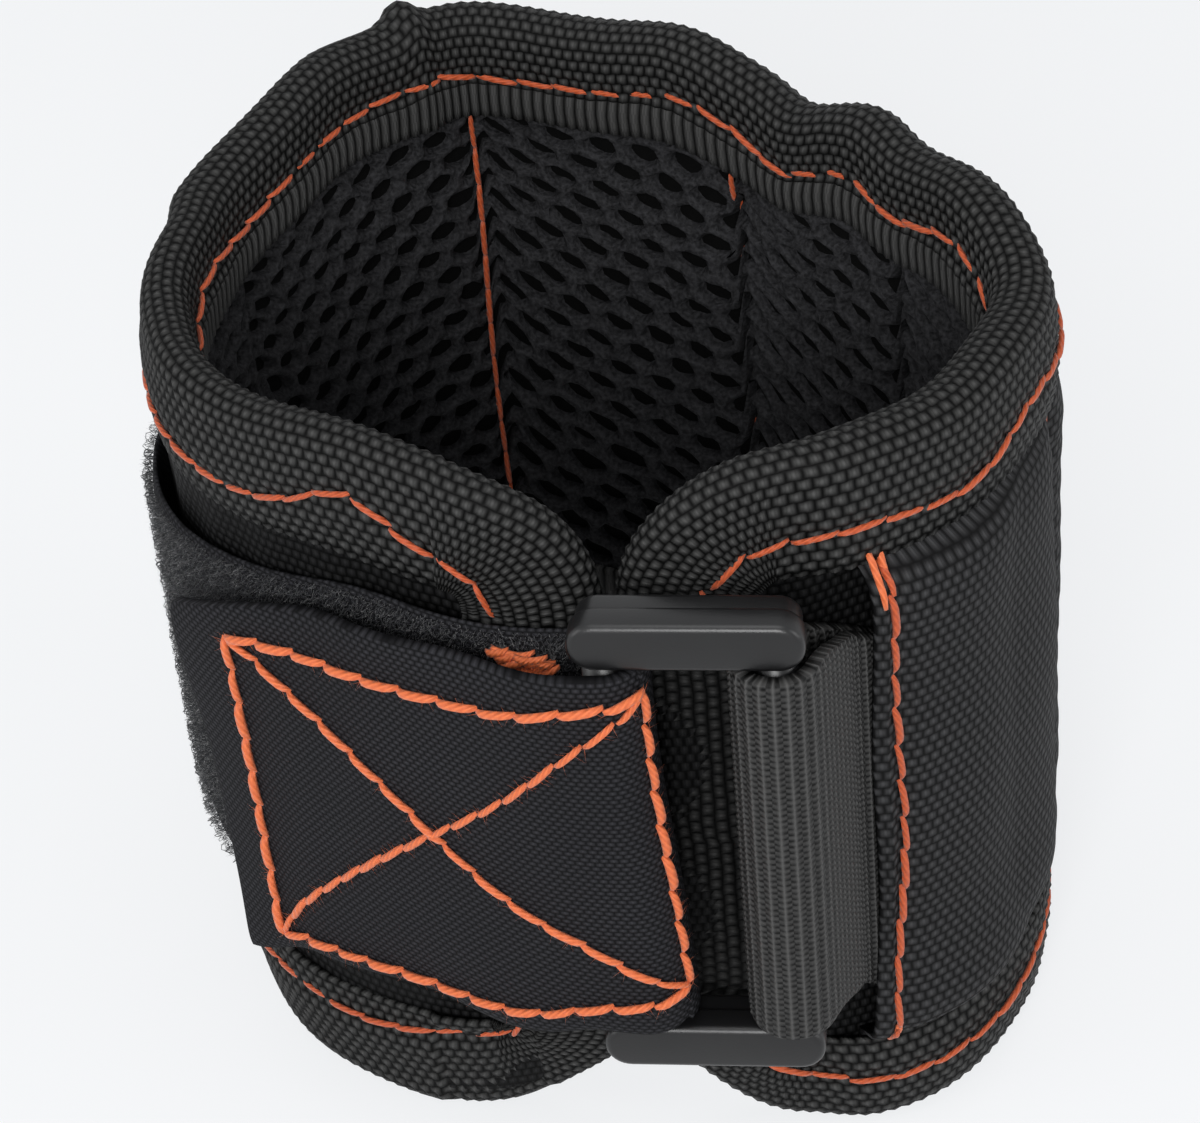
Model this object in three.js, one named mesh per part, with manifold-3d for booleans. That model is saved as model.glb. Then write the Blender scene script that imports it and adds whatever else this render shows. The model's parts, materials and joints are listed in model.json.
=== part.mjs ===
// Magnetic wristband: a padded fabric band, bent into a hoop round the wrist, with disc magnets in
// sewn pockets, a bound edge, and a strap that runs through a plastic ring and folds back on itself.
// Millimetres, +Z up along the forearm. The front, with the ring, faces -Y.
//
// Every soft layer is placed on the hoop by three numbers: s, the length along the band from the
// stitched spine at the back (plus to the wearer's right), d, the distance outwards from the face of
// the backing, and z, the height.
import * as THREE from "three";
import { mergeVertices } from "three/addons/utils/BufferGeometryUtils.js";
import Module from "manifold-3d";

// Band
const BAND_HEIGHT = 75;
const CORNER_RADIUS = 13;
const END_GAP = 1;
const CLEARANCE = 0.3;

// Hoop: four apexes of the backing's face, joined by quarter curves. A fullness of 2 is elliptical.
const HOOP_WIDTH = 73.4;
const HOOP_DEPTH = 75;
const LEFT_APEX_Y = -2.5;
const RIGHT_APEX_Y = -11.5;
const BACK_APEX_X = -8.8;
const FRONT_APEX_X = 6.2;
const BACK_LEFT_FULLNESS = 1.7;
const BACK_RIGHT_FULLNESS = 1.55;
const FRONT_RIGHT_FULLNESS = 2;
const FRONT_LEFT_FULLNESS = 1.95;
const ENDS_MEET_LEFT_OF_FRONT = 6.5;

// Layers
const BACKING_THICKNESS = 1;
const LINING_THICKNESS = 2.2;
const LINING_PINCH = 1;
const PANEL_THICKNESS = 0.8;
const BINDING_THICKNESS = 0.8;
const BINDING_LEG = 11;
const BINDING_CREST = 1.6;
const BINDING_FLAT = 1.8;

// Pockets and magnets: pocket widths along the band, counted from the spine
const LEFT_POCKET = 35;
const BACK_POCKET = 29;
const BACK_RIGHT_POCKET = 21.5;
const SIDE_POCKET = 24;
const RIGHT_SEAM_FROM_FRONT = 14.8;
const WELT = 1.8;
const MAGNET_DIAMETER = 12;
const MAGNET_THICKNESS = 1.2;
const MAGNET_ROWS = 3;
const MAGNET_ROW_PITCH = 15;
const POCKET_SLACK = 0.55;

// Strap, hook pad and elastic
const STRAP_WIDTH = 39;
const STRAP_MIDDLE = 42.6;
const STRAP_THICKNESS = 1.5;
const STRAP_STANDOFF = 0.8;
const STRAP_TUCK = 4;
const STRAP_SEWN_LENGTH = 12;
const TAB_LENGTH = 38.5;
const TAB_DROP = 8.6;
const STRAP_TILT = 4.6;
const TAB_SETTLE_LENGTH = 17;
const HOOK_THICKNESS = 1;
const HOOK_WIDTH = 36;
const HOOK_START = 17;
const HOOK_MARGIN = 3;
const ELASTIC_THICKNESS = 1.3;
const ELASTIC_SEAM_MIDDLE = 33.8;
const ELASTIC_SHOULDER = 2.4;
const ELASTIC_DIP = 1.6;
const ELASTIC_TUCK = 4;

// Ring
const RING_WIDTH = 18.6;
const RAIL_HEIGHT = 4.6;
const RAIL_DEPTH = 5;
const RAIL_LIP_DEPTH = 2.6;
const RAIL_LIP = 0.4;
const RAIL_EDGE = 0.9;
const RAIL_CORNER = 2.2;
const RAIL_OVERHANG = 0.8;
const RING_BAR = 3.6;
const RING_SLOT_CLEARANCE = 0.3;
const RING_YAW = THREE.MathUtils.degToRad(8.5);
const BAR_CLEARANCE = 0.7;
const BAR_PAST_END = 0.6;

// Fineness of the facets
const PLAN_SAMPLES = 240;
const NORMAL_REACH = 4;
const STEP = 4;
const CORNER_STEPS = 5;
const PANEL_ROWS = 9;
const BEND_STEPS = 10;

const MIDDLE = BAND_HEIGHT / 2;
const STRAP_BOTTOM = STRAP_MIDDLE - STRAP_WIDTH / 2;
const STRAP_TOP = STRAP_MIDDLE + STRAP_WIDTH / 2;
const BINDING_WALL = BINDING_THICKNESS + BINDING_CREST;
const LAYER_INSET = BINDING_WALL + CLEARANCE;

// Finishes
const finish = (color, roughness, metalness = 0) =>
  new THREE.MeshStandardMaterial({ color, roughness, metalness });
const SHELL_FABRIC = finish(0x1b1b1d, 0.85);
const MESH_FABRIC = finish(0x131314, 0.95);
const BINDING_TAPE = finish(0x202022, 0.8);
const LOOP_TAPE = finish(0x1c1c20, 0.95);
const HOOK_TAPE = finish(0x18181a, 0.7);
const ELASTIC_WEB = finish(0x222224, 0.85);
const MOULDED_PLASTIC = finish(0x2a2a2c, 0.4);
const MAGNET_STEEL = finish(0x8a8d92, 0.35, 1);

// Plan of the hoop

// A quarter curve between two apexes; the tangent is along Y at a side apex and along X at the others.
function quarter(side, other, fullness, fromSide) {
  const points = [];
  for (let i = 0; i < PLAN_SAMPLES; i += 1) {
    const t = ((fromSide ? i : PLAN_SAMPLES - i) / PLAN_SAMPLES) * (Math.PI / 2);
    const across = Math.cos(t) ** (2 / fullness);
    const along = Math.sin(t) ** (2 / fullness);
    points.push(
      new THREE.Vector2(
        THREE.MathUtils.lerp(other.x, side.x, across),
        THREE.MathUtils.lerp(side.y, other.y, along),
      ),
    );
  }
  return points;
}

const LEFT = new THREE.Vector2(-HOOP_WIDTH / 2, LEFT_APEX_Y);
const RIGHT = new THREE.Vector2(HOOP_WIDTH / 2, RIGHT_APEX_Y);
const BACK = new THREE.Vector2(BACK_APEX_X, HOOP_DEPTH / 2);
const FRONT = new THREE.Vector2(FRONT_APEX_X, -HOOP_DEPTH / 2);

// Clockwise from above, from the back spine: right, front, left and round to the back again.
const planPoints = [
  ...quarter(RIGHT, BACK, BACK_RIGHT_FULLNESS, false),
  ...quarter(RIGHT, FRONT, FRONT_RIGHT_FULLNESS, true),
  ...quarter(LEFT, FRONT, FRONT_LEFT_FULLNESS, false),
  ...quarter(LEFT, BACK, BACK_LEFT_FULLNESS, true),
];
const planLengths = [0];
planPoints.forEach((point, i) => {
  const next = planPoints[(i + 1) % planPoints.length];
  planLengths.push(planLengths[i] + point.distanceTo(next));
});
const PERIMETER = planLengths[planPoints.length];
const FRONT_S = planLengths[2 * PLAN_SAMPLES];

function planAt(s) {
  const along = THREE.MathUtils.euclideanModulo(s, PERIMETER);
  let low = 0;
  let high = planPoints.length;
  while (high - low > 1) {
    const half = (low + high) >> 1;
    if (planLengths[half] <= along) low = half;
    else high = half;
  }
  const share = (along - planLengths[low]) / (planLengths[low + 1] - planLengths[low]);
  return planPoints[low].clone().lerp(planPoints[(low + 1) % planPoints.length], share);
}

// The outward direction, taken over a short stretch so that it turns smoothly through the apexes.
function outwardAt(s) {
  const run = planAt(s + NORMAL_REACH).sub(planAt(s - NORMAL_REACH)).normalize();
  return new THREE.Vector2(-run.y, run.x);
}

function planOffset(s, d) {
  return planAt(s).addScaledVector(outwardAt(s), d);
}

const place = (s, d, z) => {
  const point = planOffset(s, d);
  return new THREE.Vector3(point.x, point.y, z);
};

// Lofting

// A closed solid through a row of like outlines. Each outline has its flat points, for the caps, and
// the same points in space.
function loft(outlines) {
  const size = outlines[0].flat.length;
  const positions = outlines.flatMap(({ solid }) => solid.flatMap((point) => point.toArray()));
  const index = [];
  for (let i = 0; i < outlines.length - 1; i += 1) {
    for (let j = 0; j < size; j += 1) {
      const here = i * size + j;
      const beside = i * size + ((j + 1) % size);
      index.push(here, beside, here + size, beside, beside + size, here + size);
    }
  }
  const last = (outlines.length - 1) * size;
  capFaces(outlines[0].flat).forEach(([a, b, c]) => index.push(a, c, b));
  capFaces(outlines.at(-1).flat).forEach(([a, b, c]) => index.push(last + a, last + b, last + c));
  const geometry = new THREE.BufferGeometry();
  geometry.setAttribute("position", new THREE.Float32BufferAttribute(positions, 3));
  geometry.setIndex(index);
  return facingOut(geometry);
}

// Triangles that fill a flat outline and run round it the same way as its points.
function capFaces(flat) {
  const faces = THREE.ShapeUtils.triangulateShape(flat, []);
  const sameWay = faces.some((face) => {
    const turn = THREE.ShapeUtils.area(face.map((i) => flat[i])) * THREE.ShapeUtils.area(flat);
    return turn > 0;
  });
  return sameWay ? faces : faces.map(([a, b, c]) => [a, c, b]);
}

// Turns a closed surface's faces round if its signed volume is negative.
function facingOut(geometry) {
  const position = geometry.getAttribute("position");
  const index = geometry.index.array;
  const corner = [0, 1, 2].map(() => new THREE.Vector3());
  let volume = 0;
  for (let i = 0; i < index.length; i += 3) {
    corner.forEach((point, k) => point.fromBufferAttribute(position, index[i + k]));
    volume += corner[0].dot(corner[1].clone().cross(corner[2]));
  }
  if (volume < 0) geometry.setIndex(Array.from(index).reverse());
  geometry.computeVertexNormals();
  return geometry;
}

// Joining closed pieces into one

const wasm = await Module();
wasm.setup();

function solidOf(geometry) {
  const bare = geometry.clone();
  bare.deleteAttribute("normal");
  bare.deleteAttribute("uv");
  const merged = mergeVertices(bare);
  const vertProperties = merged.getAttribute("position").array;
  return new wasm.Manifold(new wasm.Mesh({ numProp: 3, vertProperties, triVerts: merged.index.array }));
}

function joined(geometries) {
  const whole = geometries.map(solidOf).reduce((sum, piece) => sum.add(piece));
  const { vertProperties, triVerts } = whole.getMesh();
  const geometry = new THREE.BufferGeometry();
  geometry.setAttribute("position", new THREE.BufferAttribute(vertProperties, 3));
  geometry.setIndex(new THREE.BufferAttribute(triVerts, 1));
  geometry.computeVertexNormals();
  return geometry;
}

// Values from first to last in equal steps no longer than step.
function steps(first, last, step) {
  const count = Math.max(1, Math.ceil(Math.abs(last - first) / step));
  return Array.from({ length: count + 1 }, (_, i) => first + ((last - first) * i) / count);
}

// A layer of the band over the stations given: inner and outer give its faces, low and high its edges.
function layer(stations, { inner, outer, low, high, rows = 2 }) {
  return loft(
    stations.map((s) => {
      const heights = Array.from({ length: rows }, (_, i) =>
        THREE.MathUtils.lerp(low(s), high(s), i / (rows - 1)),
      );
      const flat = [
        ...heights.map((z) => new THREE.Vector2(inner(s, z), z)),
        ...heights.toReversed().map((z) => new THREE.Vector2(outer(s, z), z)),
      ];
      return { flat, solid: flat.map((point) => place(s, point.x, point.y)) };
    }),
  );
}

// A flat strap of one thickness that follows a path of plan points.
function ribbon(path, thickness, low, high) {
  const curveNormal = (i) => {
    const run = path[Math.min(i + 1, path.length - 1)].clone().sub(path[Math.max(i - 1, 0)]);
    return new THREE.Vector2(-run.y, run.x).normalize();
  };
  return loft(
    path.map((point, i) => {
      const side = curveNormal(i).multiplyScalar(thickness / 2);
      const bottom = low(i / (path.length - 1));
      const top = high(i / (path.length - 1));
      const flat = [
        new THREE.Vector2(-thickness / 2, bottom),
        new THREE.Vector2(thickness / 2, bottom),
        new THREE.Vector2(thickness / 2, top),
        new THREE.Vector2(-thickness / 2, top),
      ];
      const solid = flat.map(({ x, y }) => {
        const across = point.clone().addScaledVector(side, (2 * x) / thickness);
        return new THREE.Vector3(across.x, across.y, y);
      });
      return { flat, solid };
    }),
  );
}

// Ends, corners and stations of the band

const RIGHT_END = FRONT_S + ENDS_MEET_LEFT_OF_FRONT - END_GAP / 2;
const LEFT_END = FRONT_S + ENDS_MEET_LEFT_OF_FRONT + END_GAP / 2 - PERIMETER;
const LEFT_SEAM = -LEFT_POCKET;
const RIGHT_SEAM = FRONT_S - RIGHT_SEAM_FROM_FRONT;
const SPINE_GAP = CLEARANCE / 2;

// How far the rounded corner cuts down a layer's edge at s, for a layer that stops short of the bead.
function cornerCut(s) {
  const toEnd = Math.min(RIGHT_END - s, s - LEFT_END) - LAYER_INSET;
  const radius = CORNER_RADIUS - LAYER_INSET;
  if (toEnd >= radius) return 0;
  const inside = radius - Math.max(toEnd, 0);
  return radius - Math.sqrt(radius * radius - inside * inside);
}
const layerLow = (s) => LAYER_INSET + cornerCut(s);
const layerHigh = (s) => BAND_HEIGHT - LAYER_INSET - cornerCut(s);

// Stations of one half of the band, from the spine to its end, close together round the corner.
function halfStations(sign, end) {
  const stop = end - sign * LAYER_INSET;
  const radius = CORNER_RADIUS - LAYER_INSET;
  const straight = steps(sign * SPINE_GAP, stop - sign * radius, STEP);
  const turned = Array.from({ length: CORNER_STEPS }, (_, i) => {
    const angle = ((i + 1) / CORNER_STEPS) * (Math.PI / 2);
    return stop - sign * radius * (1 - Math.sin(angle));
  });
  return [...straight, ...turned];
}

// Pocket panel, drawn in at its seams and puffed out between them

const BACK_RIGHT_SEAM = BACK_POCKET + BACK_RIGHT_POCKET;
const SEAMS = [LEFT_SEAM, 0, BACK_POCKET, BACK_RIGHT_SEAM, BACK_RIGHT_SEAM + SIDE_POCKET, RIGHT_SEAM];
const PANEL_FLAT = CLEARANCE;
const POCKET_RISE = MAGNET_THICKNESS + POCKET_SLACK + CLEARANCE;
const ELASTIC_STACK = 2 * (ELASTIC_THICKNESS + CLEARANCE);
const STRAP_STACK = STRAP_THICKNESS + 2 * CLEARANCE;
const PUFF_EDGE = BINDING_LEG + CLEARANCE;
const ACROSS_POWER = 4;
const HEIGHT_POWER = 12;
const TUCK_POWER = 30;

const pillow = (share, power) => 1 - Math.min(1, Math.abs(2 * share - 1)) ** power;

function seamShare(s) {
  const next = SEAMS.findIndex((seam) => seam > s);
  if (next < 1) return 0;
  return (s - SEAMS[next - 1]) / (SEAMS[next] - SEAMS[next - 1]);
}

// Room under the panel's edges for what is sewn in there: the strap's tail and the elastic's ends.
function tuckRise(s) {
  const right = THREE.MathUtils.smoothstep(s, RIGHT_SEAM - 3 * ELASTIC_TUCK, RIGHT_SEAM - ELASTIC_TUCK - 1);
  const left = 1 - THREE.MathUtils.smoothstep(s, LEFT_SEAM + STRAP_TUCK + 1, LEFT_SEAM + 3 * STRAP_TUCK);
  return Math.max(right * ELASTIC_STACK, left * STRAP_STACK);
}

function panelInner(s, z) {
  const height = THREE.MathUtils.clamp((z - PUFF_EDGE) / (BAND_HEIGHT - 2 * PUFF_EDGE), 0, 1);
  const pocket = POCKET_RISE * pillow(seamShare(s), ACROSS_POWER) * pillow(height, HEIGHT_POWER);
  return PANEL_FLAT + Math.max(pocket, tuckRise(s) * pillow(height, TUCK_POWER));
}
const panelOuter = (s, z) => panelInner(s, z) + PANEL_THICKNESS;
const PANEL_LEFT_EDGE = LEFT_SEAM - WELT;
const PANEL_RIGHT_EDGE = RIGHT_SEAM + WELT;

function panelStations(sign) {
  const edge = sign > 0 ? PANEL_RIGHT_EDGE : PANEL_LEFT_EDGE;
  return steps(sign * SPINE_GAP, edge, STEP);
}

function panelGeometry(sign) {
  const rowHeights = [
    LAYER_INSET,
    PUFF_EDGE,
    ...steps(PUFF_EDGE, BAND_HEIGHT - PUFF_EDGE, (BAND_HEIGHT - 2 * PUFF_EDGE) / PANEL_ROWS)
      .slice(1, -1)
      .map(easedRow),
    BAND_HEIGHT - PUFF_EDGE,
    BAND_HEIGHT - LAYER_INSET,
  ];
  return loft(
    panelStations(sign).map((s) => {
      const flat = [
        ...rowHeights.map((z) => new THREE.Vector2(panelInner(s, z), z)),
        ...rowHeights.toReversed().map((z) => new THREE.Vector2(panelOuter(s, z), z)),
      ];
      return { flat, solid: flat.map((point) => place(s, point.x, point.y)) };
    }),
  );
}

// Moves an even row towards the nearer margin, where the puff curves most.
function easedRow(z) {
  const half = BAND_HEIGHT / 2 - PUFF_EDGE;
  const share = (z - MIDDLE) / half;
  return MIDDLE + half * Math.sin((share * Math.PI) / 2);
}

// Lining, drawn in along the seams

function liningInner(s) {
  const pinch = LINING_PINCH * (1 - pillow(seamShare(s), 6));
  const inPockets = s > LEFT_SEAM && s < RIGHT_SEAM;
  return -BACKING_THICKNESS - CLEARANCE - LINING_THICKNESS + (inPockets ? pinch : 0);
}
const LINING_FACE = -BACKING_THICKNESS - CLEARANCE - LINING_THICKNESS;

// Binding: a tape folded over the edge, all the way round each half

const BINDING_INNER = LINING_FACE - CLEARANCE;

function bindingOuter(s) {
  const ease = BINDING_LEG / 2;
  const right = 1 - THREE.MathUtils.smoothstep(s, PANEL_RIGHT_EDGE, PANEL_RIGHT_EDGE + ease);
  const left = THREE.MathUtils.smoothstep(s, PANEL_LEFT_EDGE - ease, PANEL_LEFT_EDGE);
  const raised = PANEL_FLAT + PANEL_THICKNESS;
  return CLEARANCE + raised * Math.min(right, left);
}

// The tape's folded section at (s, z), with depth measured into the band along (inS, inZ). Its crest is
// pressed flat, where the band stands on it.
function bindingOutline({ s, z, inS, inZ }) {
  const over = bindingOuter(s);
  const outside = over + BINDING_THICKNESS;
  const inside = BINDING_INNER - BINDING_THICKNESS;
  const half = (outside - inside) / 2;
  const middle = (outside + inside) / 2;
  const shoulder = half - BINDING_FLAT / 2;
  const turn = [0.35, 0.7, 1].map((share) => {
    const angle = (share * Math.PI) / 2;
    const depth = BINDING_CREST * (1 - Math.sin(angle));
    return new THREE.Vector2(depth, BINDING_FLAT / 2 + shoulder * Math.cos(angle));
  });
  const round = [
    ...turn.map(({ x, y }) => new THREE.Vector2(x, middle + y)),
    ...turn.toReversed().map(({ x, y }) => new THREE.Vector2(x, middle - y)),
  ];
  const flat = [
    new THREE.Vector2(BINDING_LEG, over),
    new THREE.Vector2(BINDING_LEG, outside),
    ...round,
    new THREE.Vector2(BINDING_LEG, inside),
    new THREE.Vector2(BINDING_LEG, BINDING_INNER),
    new THREE.Vector2(BINDING_WALL, BINDING_INNER),
    new THREE.Vector2(BINDING_WALL, over),
  ];
  const solid = flat.map(({ x: depth, y: d }) => place(s + inS * depth, d, z + inZ * depth));
  return { flat, solid };
}

// The edge of one half: along the top, round the end's two corners, and back along the bottom.
function bindingGeometry(sign, end) {
  const straight = steps(sign * SPINE_GAP, end - sign * CORNER_RADIUS, STEP);
  const top = straight.map((s) => ({ s, z: BAND_HEIGHT, inS: 0, inZ: -1 }));
  const bottom = straight.toReversed().map((s) => ({ s, z: 0, inS: 0, inZ: 1 }));
  const corner = (centreZ, upward, from) =>
    Array.from({ length: CORNER_STEPS }, (_, i) => {
      const angle = from + ((i + 1) / CORNER_STEPS) * (Math.PI / 2);
      const out = Math.sin(angle);
      const rise = Math.cos(angle) * upward;
      return {
        s: end - sign * CORNER_RADIUS * (1 - out),
        z: centreZ + CORNER_RADIUS * rise,
        inS: -sign * out,
        inZ: -rise,
      };
    });
  const upper = corner(BAND_HEIGHT - CORNER_RADIUS, 1, 0);
  const lower = corner(CORNER_RADIUS, 1, Math.PI / 2);
  const down = steps(BAND_HEIGHT - CORNER_RADIUS, CORNER_RADIUS, 2 * STEP).slice(1);
  const side = down.map((z) => ({ s: end, z, inS: -sign, inZ: 0 }));
  const path = [...top, ...upper, ...side, ...lower, ...bottom.slice(1)];
  return loft(path.map(bindingOutline));
}

// Strap: loop tape, from its tail under the left seam, along the band, round the ring's left bar

const ON_BINDING = 2 * CLEARANCE + BINDING_THICKNESS;
const BAR_S = LEFT_END - BAR_PAST_END;
const WRAP_RADIUS = RING_BAR / 2 + BAR_CLEARANCE + STRAP_THICKNESS / 2;
const BAR_D = ON_BINDING + STRAP_THICKNESS / 2 + WRAP_RADIUS;
const TAB_TIP = BAR_S + TAB_LENGTH;

function strapInner(s) {
  const sewnTo = LEFT_END + STRAP_SEWN_LENGTH;
  const freeTo = PANEL_LEFT_EDGE - STRAP_TUCK;
  const share = THREE.MathUtils.clamp((s - sewnTo) / (freeTo - sewnTo), 0, 1);
  const stand = STRAP_STANDOFF * Math.sin(Math.PI * share * share) ** 2;
  const offBinding = THREE.MathUtils.smoothstep(s, sewnTo, sewnTo + STRAP_SEWN_LENGTH);
  return THREE.MathUtils.lerp(ON_BINDING, CLEARANCE, offBinding) + stand;
}
const strapOuter = (s) => strapInner(s) + STRAP_THICKNESS;

const strapPath = steps(LEFT_SEAM + STRAP_TUCK, BAR_S + CLEARANCE, STEP).map((s) =>
  planOffset(s, strapInner(s) + STRAP_THICKNESS / 2),
);

// The tail is sewn on a little lower than the end at the ring.
const strapDrop = (share) => STRAP_TILT * (1 - THREE.MathUtils.smoothstep(share, 0.4, 0.88));

const barOutward = outwardAt(BAR_S);
const barAlong = new THREE.Vector2(barOutward.y, -barOutward.x).negate();
const leftBar = planOffset(BAR_S, BAR_D);
const BEND_MARGIN = CLEARANCE / WRAP_RADIUS;
const bendPath = steps(BEND_MARGIN, Math.PI - BEND_MARGIN, Math.PI / BEND_STEPS).map((turn) =>
  leftBar
    .clone()
    .addScaledVector(barOutward, -Math.cos(turn) * WRAP_RADIUS)
    .addScaledVector(barAlong, Math.sin(turn) * WRAP_RADIUS),
);

// Tab: the strap's end, folded back over the ring's bar and pressed on the loop pile by its hooks

const HOOK_STACK = 2 * CLEARANCE + HOOK_THICKNESS;

function tabMiddle(s) {
  const lying = strapOuter(s) + HOOK_STACK + STRAP_THICKNESS / 2;
  const settled = THREE.MathUtils.smoothstep(s, BAR_S, BAR_S + TAB_SETTLE_LENGTH);
  return THREE.MathUtils.lerp(BAR_D + WRAP_RADIUS, lying, settled);
}
const tabDrop = (s) => TAB_DROP * ((s - BAR_S) / TAB_LENGTH) ** 3;

function tabRibbon(from, to, middle, width, thickness) {
  const stations = steps(from, to, STEP);
  const drop = (share) => tabDrop(THREE.MathUtils.lerp(from, to, share));
  return ribbon(
    stations.map((s) => planOffset(s, middle(s))),
    thickness,
    (share) => STRAP_MIDDLE - width / 2 - drop(share),
    (share) => STRAP_MIDDLE + width / 2 - drop(share),
  );
}

// Ring: a moulded rectangular loop, turned a little so that its right side stands further out

const SLOT_HEIGHT = STRAP_WIDTH + 2 * RING_SLOT_CLEARANCE;
const RAIL_MIDDLE = (SLOT_HEIGHT + RAIL_HEIGHT) / 2;
const RING_BAR_SPACING = RING_WIDTH - RING_BAR - 2 * RAIL_OVERHANG;

function roundedRectangle(width, height, radius) {
  const x = width / 2 - radius;
  const y = height / 2 - radius;
  const shape = new THREE.Shape();
  shape.absarc(x, -y, radius, -Math.PI / 2, 0);
  shape.absarc(x, y, radius, 0, Math.PI / 2);
  shape.absarc(-x, y, radius, Math.PI / 2, Math.PI);
  shape.absarc(-x, -y, radius, Math.PI, 1.5 * Math.PI);
  return shape;
}

// A block with rounded upright corners and softened edges, from its outside sizes.
function softBlock(width, depth, height, corner, edge) {
  const outline = roundedRectangle(width - 2 * edge, depth - 2 * edge, corner - edge);
  const geometry = new THREE.ExtrudeGeometry(outline, {
    depth: height - 2 * edge,
    bevelSize: edge,
    bevelThickness: edge,
    bevelSegments: 2,
    curveSegments: 3,
  });
  return geometry.translate(0, 0, edge - height / 2);
}

// Each end rail has a lip along its front, a little proud of the rest.
function ringGeometry() {
  const pieces = [-1, 1].flatMap((end) => {
    const rail = softBlock(
      RING_WIDTH - 2 * RAIL_LIP,
      RAIL_DEPTH,
      RAIL_HEIGHT - 2 * RAIL_LIP,
      RAIL_CORNER,
      RAIL_EDGE,
    );
    const lip = softBlock(RING_WIDTH, RAIL_LIP_DEPTH, RAIL_HEIGHT, RAIL_LIP_DEPTH / 2, RAIL_EDGE);
    lip.translate(0, (RAIL_LIP_DEPTH - RAIL_DEPTH) / 2, 0);
    const bar = new THREE.CylinderGeometry(RING_BAR / 2, RING_BAR / 2, 2 * RAIL_MIDDLE, 16);
    bar.rotateX(Math.PI / 2).translate((end * RING_BAR_SPACING) / 2, 0, 0);
    return [rail.translate(0, 0, end * RAIL_MIDDLE), lip.translate(0, 0, end * RAIL_MIDDLE), bar];
  });
  return joined(pieces).translate(RING_BAR_SPACING / 2, 0, 0);
}

const rightBar = leftBar
  .clone()
  .add(new THREE.Vector2(Math.cos(RING_YAW), -Math.sin(RING_YAW)).multiplyScalar(RING_BAR_SPACING));

// Elastic: one length of ribbed elastic, looped round the ring's right bar, both ends in the right seam

const ELASTIC_WRAP = RING_BAR / 2 + BAR_CLEARANCE + ELASTIC_THICKNESS / 2;
const ELASTIC_INNER = CLEARANCE + ELASTIC_THICKNESS / 2;
const ELASTIC_OUTER = ELASTIC_INNER + ELASTIC_THICKNESS + CLEARANCE;

// The direction from a bar's axis to where a line from a far point first touches a circle round it.
function touchTurn(bar, far, radius, side) {
  const away = far.clone().sub(bar);
  return away.angle() + side * Math.acos(radius / away.length());
}

// The outer layer stands off in a shoulder before it dips under the panel's edge.
function elasticPath() {
  const enters = PANEL_RIGHT_EDGE + ELASTIC_THICKNESS;
  const seam = [RIGHT_SEAM - ELASTIC_TUCK, RIGHT_SEAM, enters];
  const within = seam.map((s) => planOffset(s, ELASTIC_INNER));
  const without = seam.map((s) => planOffset(s, ELASTIC_OUTER)).reverse();
  const first = touchTurn(rightBar, within.at(-1), ELASTIC_WRAP, 1);
  const shoulder = planOffset(enters + ELASTIC_DIP, ELASTIC_OUTER + ELASTIC_SHOULDER);
  const last = touchTurn(rightBar, shoulder, ELASTIC_WRAP, -1) + 2 * Math.PI;
  const round = steps(first, last, Math.PI / BEND_STEPS).map((turn) =>
    new THREE.Vector2(Math.cos(turn), Math.sin(turn)).multiplyScalar(ELASTIC_WRAP).add(rightBar),
  );
  return [...within, ...round, shoulder, ...without];
}

// The loop climbs from the seam to the ring, and down again.
function elasticGeometry() {
  const path = elasticPath();
  const outerEnd = path[0].distanceTo(rightBar);
  const middles = path.map((point) => {
    const share = Math.min(1, Math.max(0, point.distanceTo(rightBar) - ELASTIC_WRAP) / outerEnd);
    return THREE.MathUtils.lerp(STRAP_MIDDLE, ELASTIC_SEAM_MIDDLE, share);
  });
  const middleAt = (share) => middles[Math.round(share * (path.length - 1))];
  return ribbon(
    path,
    ELASTIC_THICKNESS,
    (share) => middleAt(share) - STRAP_WIDTH / 2,
    (share) => middleAt(share) + STRAP_WIDTH / 2,
  );
}

// Magnets: discs that lie flat against the backing, in rows up the middle of each pocket

function magnetAt(s, z) {
  const radius = MAGNET_DIAMETER / 2;
  const geometry = new THREE.CylinderGeometry(radius, radius, MAGNET_THICKNESS, 20);
  const outward = outwardAt(s);
  const mesh = new THREE.Mesh(geometry, MAGNET_STEEL);
  mesh.position.copy(place(s, CLEARANCE + MAGNET_THICKNESS / 2, z));
  mesh.quaternion.setFromUnitVectors(
    new THREE.Vector3(0, 1, 0),
    new THREE.Vector3(outward.x, outward.y, 0),
  );
  return mesh;
}

// Assembly

const wristband = new THREE.Group();
wristband.name = "magnetic_wristband";

function add(name, geometry, material) {
  const mesh = new THREE.Mesh(geometry, material);
  mesh.name = name;
  wristband.add(mesh);
  return mesh;
}

const HALVES = [
  { name: "left", sign: -1, end: LEFT_END },
  { name: "right", sign: 1, end: RIGHT_END },
];
HALVES.forEach(({ name, sign, end }) => {
  const stations = halfStations(sign, end);
  const edges = { low: layerLow, high: layerHigh };
  const liningOuter = () => -BACKING_THICKNESS - CLEARANCE;
  add(`mesh_lining_${name}`, layer(stations, { inner: liningInner, outer: liningOuter, ...edges }), MESH_FABRIC);
  const backing = { inner: () => -BACKING_THICKNESS, outer: () => 0, ...edges };
  add(`backing_panel_${name}`, layer(stations, backing), SHELL_FABRIC);
  add(`pocket_panel_${name}`, panelGeometry(sign), SHELL_FABRIC);
  add(`edge_binding_${name}`, bindingGeometry(sign, end), BINDING_TAPE);
});

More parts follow.
